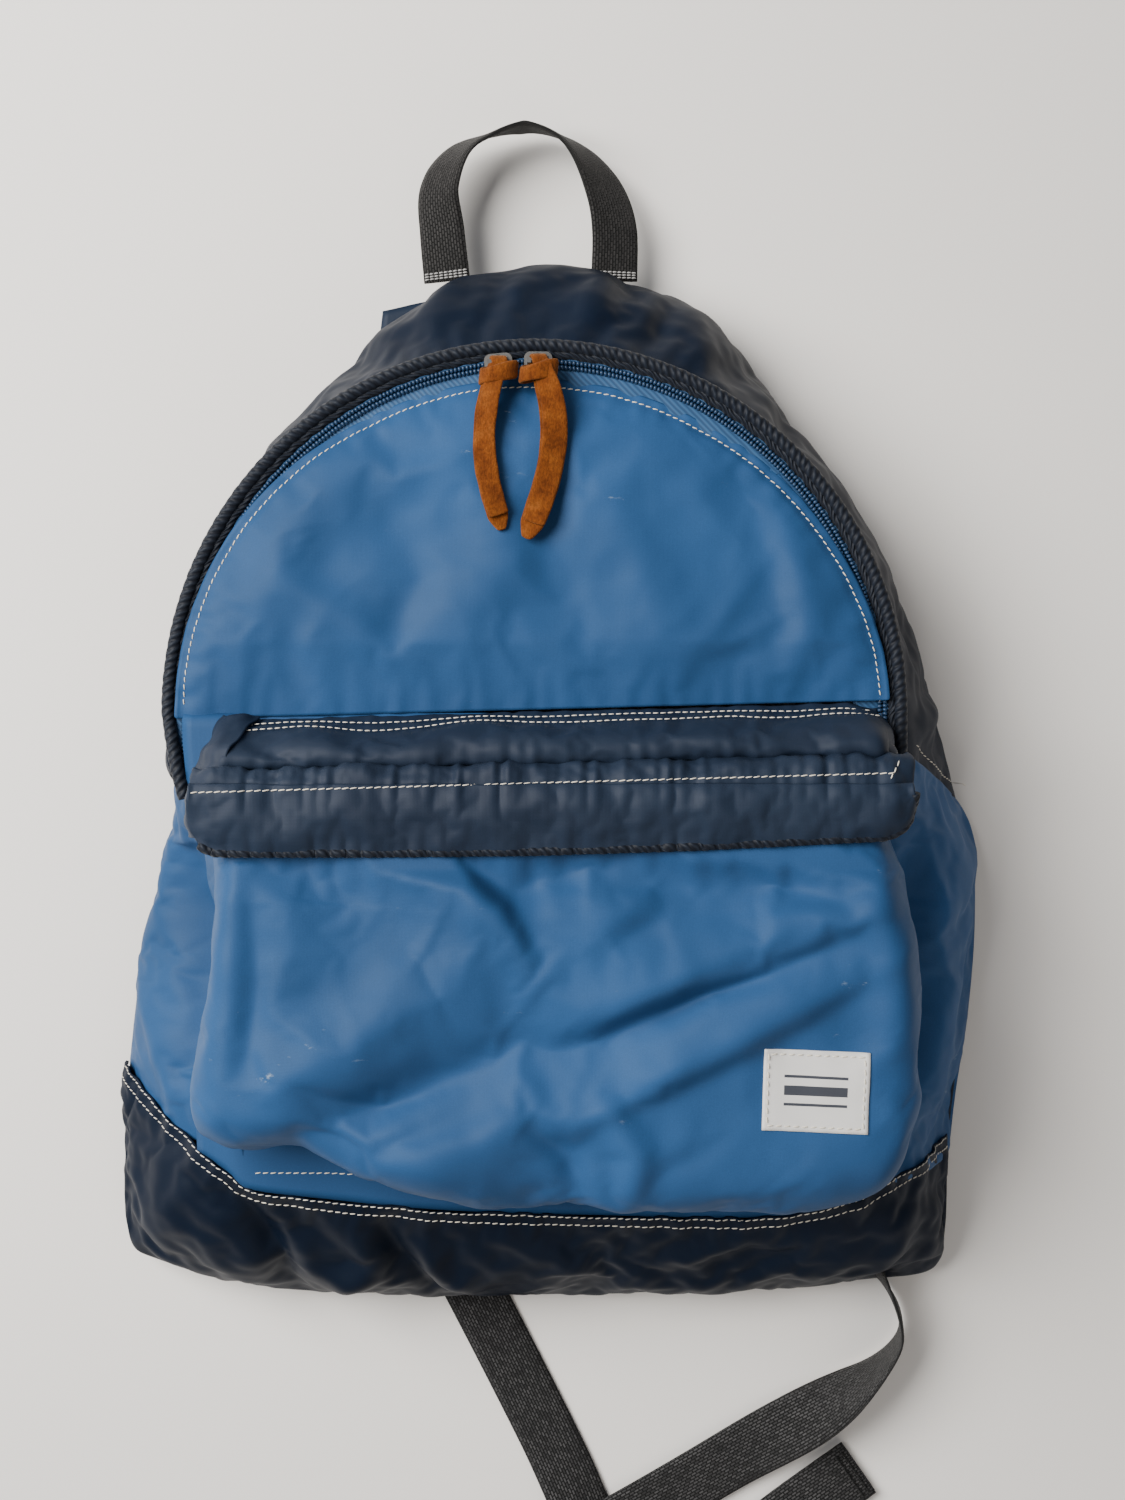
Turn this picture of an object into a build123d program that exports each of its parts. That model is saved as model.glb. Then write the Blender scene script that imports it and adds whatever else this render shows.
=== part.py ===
from build123d import *
import math
import os

# Daypack lying on its back: +Z is the front of the bag, +Y its top, +X the side to the right of a person
# who looks at the front. Z = 0 is the surface the shoulder straps rest on. Millimetres throughout.

os.makedirs("parts", exist_ok=True)

# ---- driving dimensions -------------------------------------------------------------------------------
WALL = 2.5                      # fabric, lining and seam allowance together
FAR = 400                       # past every edge, for cutting blocks

# the back panel's outline, right half, from the straight side up to the middle of the top
BACK_Z = 10.5
BACK_ARCH = [
    (172, -34), (170, -8), (164, 17), (149, 53), (130, 88), (108, 122), (85, 151), (62, 170), (34, 183), (0, 188),
]
BACK_BOTTOM_X = 172
BACK_BOTTOM_Y = -246
BACK_CORNER = 16
FOAM_THICK = 6
FOAM_INSET = 10

# where the shell changes cloth: gusset to sides, and the slanted seam of the base
GUSSET_END_Y = -30
BASE_TOP_Y = -146
SLANT = 44 / 57

# the front of the bag, where the dome opening is
FRONT_Z = 72
FRONT_R = 146
FRONT_BOTTOM_X = 141
FRONT_BOTTOM_Y = -197
FRONT_CORNER = 22
WALL_TOP_Z = FRONT_Z - WALL

# dome lid and its zip, all measured from the middle of the dome
LID_R = 131
LID_Y = 0.5
COIL_R = 136.45
COIL_GAP = 0.5
COIL_WIDE = 1.4
COIL_TALL = 1.6
TAPE_Z = 70
TAPE_THICK = 1.5
ZIP_END_Y = -22
ZIP_END_WIDE = 6
PIPING_R = 143.5
PIPING_RADIUS = 2.6

# front pocket
POCKET_BASE_X = 134
POCKET_BASE_TOP_Y = -4
POCKET_BASE_BOTTOM_Y = -190
POCKET_FACE_X = 130
POCKET_FACE_TOP_Y = -24
POCKET_FACE_BOTTOM_Y = -186
POCKET_Z = 106
POCKET_CORNER = 16
HOOD_END_Y = -28
SLOT_END_Y = -46
SLOT_X = 117
POCKET_SLIDER_X = -108

# flap over the pocket's zip
FLAP_X = 134
FLAP_Z = 110
FLAP_THICK = 1.8
FLAP_END_Y = -54
FLAP_CORNER = 14
FLAP_BINDING = 2.2

# main sliders
SLIDER_LEFT_X = -14
SLIDER_RIGHT_X = 1.5
SLIDER_LONG = 11
SLIDER_WIDE = 8
SLIDER_Z = 73.4
BRIDGE_Z = 78.6
BRIDGE_RADIUS = 0.8
LINK_LONG = 11.2
LINK_WIDE = 5.2
LINK_BAR = 1.3
THONG_WIDE = 10
THONG_THICK = 2.8
THONG_LONG_LEFT = 66
THONG_LONG_RIGHT = 69

# webbing and shoulder straps
HANDLE_WIDE = 20
HANDLE_THICK = 2
HANDLE_X = 37
HANDLE_Z = 16
HANDLE_START_Y = 184.6
HANDLE_TOP_Y = 246
HANDLE_LEG_END_Y = 205          # where the legs turn into the loop
STRAP_THICK = 9
STRAP_SKIN = 1.5
STRAP_BORDER = 4                # from the strap's edge in to its foam
# middle of the right strap from the yoke down: x, y and width
STRAP_MIDDLE = [
    (39, 127.6, 58), (46, 92, 60), (57, 50, 60), (67, 0, 58), (72, -50, 54), (72, -95, 46), (70, -125, 36),
]
STRAP_X = 70
WEBBING_WIDE = 25
WEBBING_THICK = 1.6
LOCK_Y = -153
LOCK_WIDE = 32
LOCK_LONG = 26
LOCK_CORNER = 3
LOCK_SLOT = 3.8
LOCK_BAR_PITCH = 8.6
LOOP_Z = 5
LOOP_THICK = 3.2
YOKE_Z = 9.5
YOKE = [(-66, 173), (-40, 178), (40, 178), (66, 173), (72, 122), (-72, 122)]
ANCHOR_Z = 7.4
ANCHOR_RUN = [(92, -178), (152, -205)]
ANCHOR_PATCH = [(171.5, -178), (171.5, -226), (150, -220), (133, -205), (140, -186)]

# woven label on the pocket
LABEL_X = 99
LABEL_Y = -140
LABEL_WIDE = 39
LABEL_TALL = 30
LABEL_THICK = 0.6
LABEL_TURN = -1.5

# the two loose webbing tails: hand-set points of the middle of the webbing
TAIL_LEFT = [(-70, -167.5), (10, -318), (36, -383), (72, -372), (139, -325)]
TAIL_RIGHT = [(70, -167.5), (158, -236), (152, -290), (-49, -395)]
TAIL_LEFT_Z = 0.2
TAIL_RIGHT_Z = 2.2


# ---- helpers ------------------------------------------------------------------------------------------
def block(x0, x1, y0, y1, z0, z1):
    """A box between two corners."""
    centre = ((x0 + x1) / 2, (y0 + y1) / 2, (z0 + z1) / 2)
    return Pos(*centre) * Box(abs(x1 - x0), abs(y1 - y0), abs(z1 - z0))


def slab(face, low, high):
    """A flat face carried from one height to another."""
    return extrude(Pos(0, 0, low) * face, amount=high - low, dir=(0, 0, 1))


def moved_in(points, inset):
    """Points of an open line moved sideways, towards the middle of the bag."""
    moved = []
    for i, (x, y) in enumerate(points):
        before = points[max(i - 1, 0)]
        after = points[min(i + 1, len(points) - 1)]
        dx = after[0] - before[0]
        dy = after[1] - before[1]
        size = math.hypot(dx, dy)
        moved.append((x - dy / size * inset, y + dx / size * inset))
    return moved


def closed_outline(arch, bottom_x, bottom_y, corner, z):
    """A closed outline: an arch over the top, straight sides and a bottom with round corners."""
    right = arch[0]
    left = (-right[0], right[1])
    over = arch + [(-x, y) for x, y in reversed(arch[:-1])]
    top = Edge.make_spline([Vector(x, y, z) for x, y in over], tangents=[Vector(0, 1, 0), Vector(0, -1, 0)])
    turn = corner * (1 - math.sqrt(0.5))
    corner_y = bottom_y + corner
    sides = []
    for sign in (-1, 1):
        outer = Vector(sign * bottom_x, corner_y, z)
        middle = Vector(sign * (bottom_x - turn), bottom_y + turn, z)
        inner = Vector(sign * (bottom_x - corner), bottom_y, z)
        sides.append((outer, middle, inner))
    lout, lmid, lin = sides[0]
    rout, rmid, rin = sides[1]
    edges = [
        top,
        Edge.make_line(Vector(*left, z), lout),
        Edge.make_three_point_arc(lout, lmid, lin),
        Edge.make_line(lin, rin),
        Edge.make_three_point_arc(rin, rmid, rout),
        Edge.make_line(rout, Vector(*right, z)),
    ]
    return Wire(edges)


def back_outline(inset, z):
    arch = moved_in(BACK_ARCH[:-1], inset) + [(0, BACK_ARCH[-1][1] - inset)]
    arch[0] = (BACK_ARCH[0][0] - inset, BACK_ARCH[0][1])
    return closed_outline(arch, BACK_BOTTOM_X - inset, BACK_BOTTOM_Y + inset, max(BACK_CORNER - inset, 5), z)


def front_outline(inset, z):
    radius = FRONT_R - inset
    steps = len(BACK_ARCH) - 1
    arch = [(radius * math.cos(math.pi / 2 * i / steps), radius * math.sin(math.pi / 2 * i / steps))
            for i in range(steps)]
    arch.append((0, radius))
    return closed_outline(arch, FRONT_BOTTOM_X - inset, FRONT_BOTTOM_Y + inset, FRONT_CORNER - inset, z)


def dome_face(radius, low_y):
    """A half disc above the middle of the dome, with straight sides carried down to low_y."""
    disc = Circle(radius) & Pos(0, radius) * Rectangle(2 * radius, 2 * radius)
    if low_y < 0:
        disc = disc + Pos(0, low_y / 2) * Rectangle(2 * radius, -low_y)
    if low_y > 0:
        disc = disc - Pos(0, low_y / 2) * Rectangle(2 * radius + 2, low_y)
    return disc


def dome_ring(inner, outer, low_y, z0, z1):
    """A band round the dome between two radii."""
    outside = slab(dome_face(outer, low_y), z0, z1)
    inside = slab(dome_face(inner, low_y - 1 if low_y <= 0 else low_y), z0 - 1, z1 + 1)
    return outside - inside


def ribbon(points, across, wide, thick):
    """Webbing or leather through points; across gives the direction of its width at each point."""
    sections = []
    for i, point in enumerate(points):
        here = Vector(*point)
        before = Vector(*points[max(i - 1, 0)])
        after = Vector(*points[min(i + 1, len(points) - 1)])
        along = (after - before).normalized()
        width = Vector(*across[i])
        width = (width - along * width.dot(along)).normalized()
        normal = along.cross(width)
        w = width * (wide / 2)
        n = normal * (thick / 2)
        sections.append(Wire.make_polygon([here + w + n, here - w + n, here - w - n, here + w - n], close=True))
    return Solid.make_loft(sections, ruled=True)


def turned(points):
    """The radii of the turns on a route: 0.45 of the shorter run beside the turn over tan(half the turn)."""
    radii = []
    for i in range(1, len(points) - 1):
        ax = points[i][0] - points[i - 1][0]
        ay = points[i][1] - points[i - 1][1]
        bx = points[i + 1][0] - points[i][0]
        by = points[i + 1][1] - points[i][1]
        turn = math.acos((ax * bx + ay * by) / math.hypot(ax, ay) / math.hypot(bx, by))
        radii.append(0.45 * min(math.hypot(ax, ay), math.hypot(bx, by)) / math.tan(turn / 2))
    return radii


def webbing_tail(points, z):
    """Webbing lying flat along runs and round turns."""
    route = FilletPolyline(*[(x, y, z + WEBBING_THICK / 2) for x, y in points], radius=turned(points))
    start = Plane(origin=route @ 0, x_dir=(0, 0, 1), z_dir=route % 0)
    return sweep(start * Rectangle(WEBBING_THICK, WEBBING_WIDE), path=route, is_frenet=False)


def mirrored(solid):
    return mirror(solid, about=Plane.YZ)


def save(name, shape):
    solids = shape.solids()
    solid = solids[0] if len(solids) == 1 else Compound(solids)
    solid.label = name
    export_step(solid, f"parts/{name}.step")


# ---- the bag's shell ----------------------------------------------------------------------------------
WALL_BOTTOM_Z = BACK_Z + WALL
outside = Solid.make_loft([back_outline(0, WALL_BOTTOM_Z), front_outline(0, WALL_TOP_Z)], ruled=True)
inside = Solid.make_loft([back_outline(WALL, WALL_BOTTOM_Z), front_outline(WALL, WALL_TOP_Z)], ruled=True)
shell = outside - inside

# the base meets the sides on a slant, low at the back and high at the front
slant_rise = WALL_TOP_Z - WALL_BOTTOM_Z + 1
base_side = Face(Wire.make_polygon([
    Vector(-FAR, BASE_TOP_Y, WALL_BOTTOM_Z - 1),
    Vector(-FAR, BASE_TOP_Y - slant_rise * SLANT, WALL_TOP_Z + 1),
    Vector(-FAR, -FAR, WALL_TOP_Z + 1),
    Vector(-FAR, -FAR, WALL_BOTTOM_Z - 1),
], close=True))
base_zone = extrude(base_side, amount=2 * FAR, dir=(1, 0, 0))
gusset_zone = block(-FAR, FAR, GUSSET_END_Y, FAR, 0, FAR)
left_zone = block(-FAR, 0, -FAR, GUSSET_END_Y, 0, FAR)

top_gusset = shell & gusset_zone
base_panel = shell & base_zone
sides = shell - gusset_zone - base_zone
side_panel_left = sides & left_zone
side_panel_right = sides - left_zone

back_panel = slab(Face(back_outline(0, 0)), BACK_Z, BACK_Z + WALL)
back_foam = slab(Face(back_outline(FOAM_INSET, 0)), BACK_Z + WALL, BACK_Z + WALL + FOAM_THICK)

# panel between the main compartment and the front pocket; zip ends and piping run down beside it
front_panel = slab(Face(front_outline(0, 0)), WALL_TOP_Z, FRONT_Z)
front_panel = front_panel & block(-FAR, FAR, -FAR, 0, 0, FAR)
for sign in (-1, 1):
    front_panel = front_panel - block(sign * (COIL_R - ZIP_END_WIDE), sign * FAR, ZIP_END_Y, 1, 0, FAR)

# ---- dome opening: fixed side -------------------------------------------------------------------------
piping_path = Wire([
    Edge.make_line((-PIPING_R, ZIP_END_Y, 0), (-PIPING_R, 0, 0)),
    Edge.make_three_point_arc((-PIPING_R, 0, 0), (0, PIPING_R, 0), (PIPING_R, 0, 0)),
    Edge.make_line((PIPING_R, 0, 0), (PIPING_R, ZIP_END_Y, 0)),
])
piping_z = WALL_TOP_Z + PIPING_RADIUS
piping_section = Plane(origin=(-PIPING_R, ZIP_END_Y, 0), z_dir=(0, 1, 0)) * Circle(PIPING_RADIUS)
dome_piping = Pos(0, 0, piping_z) * sweep(piping_section, path=piping_path)

half_gap = COIL_GAP / 2
gusset_zip_tape = dome_ring(COIL_R + half_gap, PIPING_R - 1, ZIP_END_Y, TAPE_Z, TAPE_Z + TAPE_THICK) - dome_piping
gusset_zip_coil = dome_ring(
    COIL_R + half_gap, COIL_R + half_gap + COIL_WIDE, ZIP_END_Y, TAPE_Z + TAPE_THICK, TAPE_Z + TAPE_THICK + COIL_TALL)

# the closed ends of the zip, below the lid's hinge line
zip_ends = []
for sign in (-1, 1):
    tape = block(sign * (COIL_R - ZIP_END_WIDE), sign * (COIL_R - half_gap), ZIP_END_Y, -0.6, TAPE_Z, TAPE_Z + TAPE_THICK)
    coil = block(
        sign * (COIL_R - half_gap - COIL_WIDE), sign * (COIL_R - half_gap), ZIP_END_Y, -0.6,
        TAPE_Z + TAPE_THICK, TAPE_Z + TAPE_THICK + COIL_TALL)
    zip_ends.append(tape + coil)
zip_end_left, zip_end_right = zip_ends

# ---- dome lid -----------------------------------------------------------------------------------------
dome_panel = slab(dome_face(LID_R, LID_Y), WALL_TOP_Z, FRONT_Z)
dome_zip_tape = dome_ring(LID_R, COIL_R - half_gap, LID_Y, TAPE_Z, TAPE_Z + TAPE_THICK)
dome_zip_coil = dome_ring(
    COIL_R - half_gap - COIL_WIDE, COIL_R - half_gap, LID_Y, TAPE_Z + TAPE_THICK, TAPE_Z + TAPE_THICK + COIL_TALL)


def main_slider(x):
    """Upper shell of a coil slider with a bridge bar along its travel."""
    y = math.sqrt(COIL_R ** 2 - x ** 2)
    plate = slab(RectangleRounded(SLIDER_LONG, SLIDER_WIDE, 2.5), SLIDER_Z, SLIDER_Z + 1.6)
    slider = plate
    for sign in (-1, 1):
        slider = slider + block(sign * 2.6, sign * 4.2, -1.3, 1.3, SLIDER_Z + 1, BRIDGE_Z + BRIDGE_RADIUS)
    bar = Pos(0, 0, BRIDGE_Z) * Rot(0, 90, 0) * Cylinder(BRIDGE_RADIUS, 7)
    turn = math.degrees(math.atan2(y, x)) - 90
    return Rot(0, 0, turn) * (Pos(0, COIL_R, 0) * (slider + bar)), y


def pull(x, y, length):
    """A flat metal link round the bridge bar and a folded leather thong through the link."""
    link_face = SlotOverall(LINK_LONG, LINK_WIDE) - SlotOverall(LINK_LONG - 2 * LINK_BAR, LINK_WIDE - 2 * LINK_BAR)
    link = extrude(link_face, amount=0.65, both=True)
    link = Pos(x, y - 2.9, BRIDGE_Z) * Rot(0, 90, 0) * Rot(0, 0, 90) * link
    points = [
        (x, y - 5.8, BRIDGE_Z),
        (x, y - 13, BRIDGE_Z - 0.8),
        (x, y - 22, BRIDGE_Z - 3.6),
        (x, y - 32, FRONT_Z + 2.2),
        (x, y - length, FRONT_Z + 2.0),
    ]
    thong = ribbon(points, [(1, 0, 0)] * 5, THONG_WIDE, THONG_THICK)
    knot = block(x - 5.8, x + 5.8, y - 13, y - 6.2, BRIDGE_Z - 3, BRIDGE_Z + 3)
    knot = fillet(knot.edges(), 1.2)
    return link, thong + knot - link


main_slider_left, left_y = main_slider(SLIDER_LEFT_X)
main_slider_right, right_y = main_slider(SLIDER_RIGHT_X)
pull_link_left, pull_thong_left = pull(SLIDER_LEFT_X, left_y, THONG_LONG_LEFT)
pull_link_right, pull_thong_right = pull(SLIDER_RIGHT_X, right_y, THONG_LONG_RIGHT)

# ---- front pocket -------------------------------------------------------------------------------------
def pocket_outline(half, top, bottom, corner, z):
    middle = (top + bottom) / 2
    return Pos(0, middle, z) * RectangleRounded(2 * half, top - bottom, corner)


pocket_outside = loft([
    pocket_outline(POCKET_BASE_X, POCKET_BASE_TOP_Y, POCKET_BASE_BOTTOM_Y, POCKET_CORNER, FRONT_Z),
    pocket_outline(POCKET_FACE_X, POCKET_FACE_TOP_Y, POCKET_FACE_BOTTOM_Y, POCKET_CORNER, POCKET_Z),
], ruled=True)
inner_top = POCKET_FACE_TOP_Y - WALL
inner_bottom = POCKET_FACE_BOTTOM_Y + WALL
pocket_inside = loft([
    pocket_outline(POCKET_BASE_X - WALL, POCKET_BASE_TOP_Y - WALL, POCKET_BASE_BOTTOM_Y + WALL,
                   POCKET_CORNER - WALL, FRONT_Z),
    pocket_outline(POCKET_FACE_X - WALL, inner_top, inner_bottom, POCKET_CORNER - WALL, POCKET_Z - WALL),
], ruled=True)
pocket_shell = pocket_outside - pocket_inside
pocket_hood = pocket_shell & block(-FAR, FAR, HOOD_END_Y, FAR, 0, FAR)
pocket_front = pocket_shell & block(-FAR, FAR, -FAR, HOOD_END_Y, 0, FAR)
pocket_front = pocket_front - block(-SLOT_X, SLOT_X, SLOT_END_Y, HOOD_END_Y + 1, POCKET_Z - 5, POCKET_Z + 1)

zip_y = (HOOD_END_Y + SLOT_END_Y) / 2
pocket_tape_z = POCKET_Z - WALL - TAPE_THICK
pocket_zip_tape_upper = block(
    -SLOT_X - 2, SLOT_X + 2, zip_y + 0.4, HOOD_END_Y, pocket_tape_z, POCKET_Z - WALL)
pocket_zip_tape_lower = block(-SLOT_X - 2, SLOT_X + 2, SLOT_END_Y - 3, zip_y - 0.4, pocket_tape_z, POCKET_Z - WALL)
pocket_zip_coil = block(-SLOT_X + 1, SLOT_X - 1, zip_y - 1.6, zip_y + 1.6, POCKET_Z - WALL, POCKET_Z - WALL + 1.8)

pocket_slider_plate = slab(RectangleRounded(SLIDER_LONG, SLIDER_WIDE, 2.5), POCKET_Z - 0.3, POCKET_Z + 1)
for sign in (-1, 1):
    pocket_slider_plate = pocket_slider_plate + block(
        sign * 2.6, sign * 4.2, -1.2, 1.2, POCKET_Z + 0.5, POCKET_Z + 3.2)
pocket_slider = pocket_slider_plate + block(-4.2, 4.2, -1.2, 1.2, POCKET_Z + 2.4, POCKET_Z + 3.2)
pocket_slider = Pos(POCKET_SLIDER_X, zip_y, 0) * pocket_slider
pocket_pull = block(-1, 19, -3, 3, POCKET_Z + 1.1, POCKET_Z + 2.2)
pocket_pull = pocket_pull - block(1.5, 4.4, -1.8, 1.8, POCKET_Z, POCKET_Z + 3)
pocket_pull = Pos(POCKET_SLIDER_X, zip_y, 0) * pocket_pull

flap_seam = block(-SLOT_X - 3, SLOT_X + 3, HOOD_END_Y + 0.4, HOOD_END_Y + 3.4, POCKET_Z, FLAP_Z + FLAP_THICK)
flap_low = FLAP_END_Y + FLAP_BINDING
flap_face = Pos(0, (HOOD_END_Y + flap_low) / 2 + 10) * RectangleRounded(
    2 * FLAP_X, HOOD_END_Y - flap_low + 20, FLAP_CORNER)
pocket_flap = slab(flap_face, FLAP_Z, FLAP_Z + FLAP_THICK) & block(-FAR, FAR, -FAR, HOOD_END_Y, 0, FAR)
binding_path = Wire([
    Edge.make_line((-FLAP_X, HOOD_END_Y - 2, 0), (-FLAP_X, flap_low + FLAP_CORNER, 0)),
    Edge.make_three_point_arc(
        (-FLAP_X, flap_low + FLAP_CORNER, 0),
        (-FLAP_X + FLAP_CORNER * (1 - math.sqrt(0.5)), flap_low + FLAP_CORNER * (1 - math.sqrt(0.5)), 0),
        (-FLAP_X + FLAP_CORNER, flap_low, 0)),
    Edge.make_line((-FLAP_X + FLAP_CORNER, flap_low, 0), (FLAP_X - FLAP_CORNER, flap_low, 0)),
    Edge.make_three_point_arc(
        (FLAP_X - FLAP_CORNER, flap_low, 0),
        (FLAP_X - FLAP_CORNER * (1 - math.sqrt(0.5)), flap_low + FLAP_CORNER * (1 - math.sqrt(0.5)), 0),
        (FLAP_X, flap_low + FLAP_CORNER, 0)),
    Edge.make_line((FLAP_X, flap_low + FLAP_CORNER, 0), (FLAP_X, HOOD_END_Y - 2, 0)),
])
binding_section = Plane(origin=(-FLAP_X, HOOD_END_Y - 2, 0), z_dir=(0, -1, 0)) * Circle(FLAP_BINDING)
flap_binding = Pos(0, 0, FLAP_Z + FLAP_THICK / 2) * sweep(binding_section, path=binding_path)
pocket_flap = pocket_flap - flap_binding

label_face = RectangleRounded(LABEL_WIDE, LABEL_TALL, 1)
label = Pos(LABEL_X, LABEL_Y, 0) * Rot(0, 0, LABEL_TURN) * slab(label_face, POCKET_Z, POCKET_Z + LABEL_THICK)

# ---- haul handle --------------------------------------------------------------------------------------
def handle_route(steps):
    """Flat legs that turn onto their edge as they bend over into the loop."""
    points = []
    across = []
    loop_radius = HANDLE_X + 1
    rise = HANDLE_TOP_Y - HANDLE_THICK / 2 - HANDLE_LEG_END_Y
    for i in range(5):
        part = i / 4
        points.append((-HANDLE_X - part, HANDLE_START_Y + part * (HANDLE_LEG_END_Y - HANDLE_START_Y), HANDLE_Z))
        tip = math.radians(62 * part ** 1.5)
        across.append((math.cos(tip), 0, math.sin(tip)))
    for i in range(1, steps):
        angle = math.pi - math.pi * i / steps
        points.append((loop_radius * math.cos(angle), HANDLE_LEG_END_Y + rise * math.sin(angle), HANDLE_Z))
        lean = math.radians(62 + 28 * math.sin(math.pi * i / steps))
        side = math.cos(angle)
        across.append((-side * math.cos(lean), -math.sin(angle) * math.cos(lean), math.sin(lean)))
    mirrored_points = [(-x, y, z) for x, y, z in reversed(points[:5])]
    mirrored_across = [(-x, y, z) for x, y, z in reversed(across[:5])]
    return points + mirrored_points, across + mirrored_across


handle_points, handle_across = handle_route(16)
haul_handle = ribbon(handle_points, handle_across, HANDLE_WIDE, HANDLE_THICK)

# ---- shoulder straps ----------------------------------------------------------------------------------
yoke_face = Polygon(*YOKE, align=None)
shoulder_yoke = slab(yoke_face, YOKE_Z, BACK_Z)


def strap_face(inset):
    """A strap's outline, right side, curving out from the yoke to its webbing."""
    outer = [(x + w / 2 - inset, y) for x, y, w in STRAP_MIDDLE]
    inner = [(x - w / 2 + inset, y) for x, y, w in STRAP_MIDDLE]
    outer[0] = (outer[0][0], outer[0][1] - inset)
    inner[0] = (inner[0][0], inner[0][1] - inset)
    outer[-1] = (outer[-1][0], outer[-1][1] + inset)
    inner[-1] = (inner[-1][0], inner[-1][1] + inset)
    right = Edge.make_spline([Vector(x, y, 0) for x, y in outer])
    left = Edge.make_spline([Vector(x, y, 0) for x, y in reversed(inner)])
    low = Edge.make_line(Vector(*outer[-1], 0), Vector(*inner[-1], 0))
    high = Edge.make_line(Vector(*inner[0], 0), Vector(*outer[0], 0))
    return Face(Wire([right, low, left, high]))


strap_foam_right = slab(strap_face(STRAP_BORDER), STRAP_SKIN, STRAP_THICK - STRAP_SKIN)
shoulder_strap_right = slab(strap_face(0), 0, STRAP_THICK) - strap_foam_right

strap_end_y = STRAP_MIDDLE[-1][1]
lock_low = LOCK_Y - LOCK_LONG / 2
lock_high = LOCK_Y + LOCK_LONG / 2
lock_loop_right = block(
    STRAP_X - WEBBING_WIDE / 2, STRAP_X + WEBBING_WIDE / 2, lock_high + 0.2, strap_end_y,
    LOOP_Z, LOOP_Z + LOOP_THICK)
lock_face = RectangleRounded(LOCK_WIDE, LOCK_LONG, LOCK_CORNER)
for slot_y in (-LOCK_BAR_PITCH, 0, LOCK_BAR_PITCH):
    lock_face = lock_face - Pos(0, slot_y) * Rectangle(WEBBING_WIDE + 1, LOCK_SLOT)
ladder_lock_right = Pos(STRAP_X, LOCK_Y, 0) * slab(lock_face, LOOP_Z - 1, LOOP_Z + 3.4)
lift_tab = block(
    STRAP_X - 11, STRAP_X + 11, lock_low - 0.2, lock_low + 2, LOOP_Z + 3.4, LOOP_Z + 4.6)
ladder_lock_right = ladder_lock_right + lift_tab
lock_loop_right = lock_loop_right + block(
    STRAP_X - WEBBING_WIDE / 2, STRAP_X + WEBBING_WIDE / 2, lock_high - 0.2, lock_high + 0.4, LOOP_Z + 0.2, LOOP_Z + 3)
lock_loop_right = lock_loop_right - ladder_lock_right

anchor_points = [(x, y, ANCHOR_Z + WEBBING_THICK / 2) for x, y in ANCHOR_RUN]
anchor_webbing_right = ribbon(anchor_points, [(0.41, 0.91, 0)] * 2, WEBBING_WIDE, WEBBING_THICK)
strap_anchor_right = slab(Polygon(*ANCHOR_PATCH, align=None), ANCHOR_Z + WEBBING_THICK, BACK_Z)

webbing_tail_left = webbing_tail(TAIL_LEFT, TAIL_LEFT_Z)
webbing_tail_right = webbing_tail(TAIL_RIGHT, TAIL_RIGHT_Z)

# ---- one file per piece -------------------------------------------------------------------------------
nodes = {
    "back_panel": back_panel,
    "back_foam": back_foam,
    "top_gusset": top_gusset,
    "side_panel_left": side_panel_left,
    "side_panel_right": side_panel_right,
    "base_panel": base_panel,
    "front_panel": front_panel,
    "dome_piping": dome_piping,
    "gusset_zip_tape": gusset_zip_tape,
    "gusset_zip_coil": gusset_zip_coil,
    "zip_end_left": zip_end_left,
    "zip_end_right": zip_end_right,
    "dome_panel": dome_panel,
    "dome_zip_tape": dome_zip_tape,
    "dome_zip_coil": dome_zip_coil,
    "main_slider_left": main_slider_left,
    "main_slider_right": main_slider_right,
    "pull_link_left": pull_link_left,
    "pull_link_right": pull_link_right,
    "pull_thong_left": pull_thong_left,
    "pull_thong_right": pull_thong_right,
    "pocket_hood": pocket_hood,
    "pocket_front": pocket_front,
    "pocket_zip_tape_upper": pocket_zip_tape_upper,
    "pocket_zip_tape_lower": pocket_zip_tape_lower,
    "pocket_zip_coil": pocket_zip_coil,
    "pocket_slider": pocket_slider,
    "pocket_pull": pocket_pull,
    "flap_seam": flap_seam,
    "pocket_flap": pocket_flap,
    "flap_binding": flap_binding,
    "label": label,
    "haul_handle": haul_handle,
    "shoulder_yoke": shoulder_yoke,
    "webbing_tail_left": webbing_tail_left,
    "webbing_tail_right": webbing_tail_right,
}
paired = {
    "shoulder_strap": shoulder_strap_right,
    "strap_foam": strap_foam_right,
    "lock_loop": lock_loop_right,
    "ladder_lock": ladder_lock_right,
    "anchor_webbing": anchor_webbing_right,
    "strap_anchor": strap_anchor_right,
}
for name, shape in paired.items():
    nodes[f"{name}_right"] = shape
    nodes[f"{name}_left"] = mirrored(shape)

for name, shape in nodes.items():
    save(name, shape)
print(len(nodes), "parts")
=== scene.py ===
import math
import random

import bpy
import numpy as np
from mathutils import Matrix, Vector, noise
from mathutils.bvhtree import BVHTree


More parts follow.
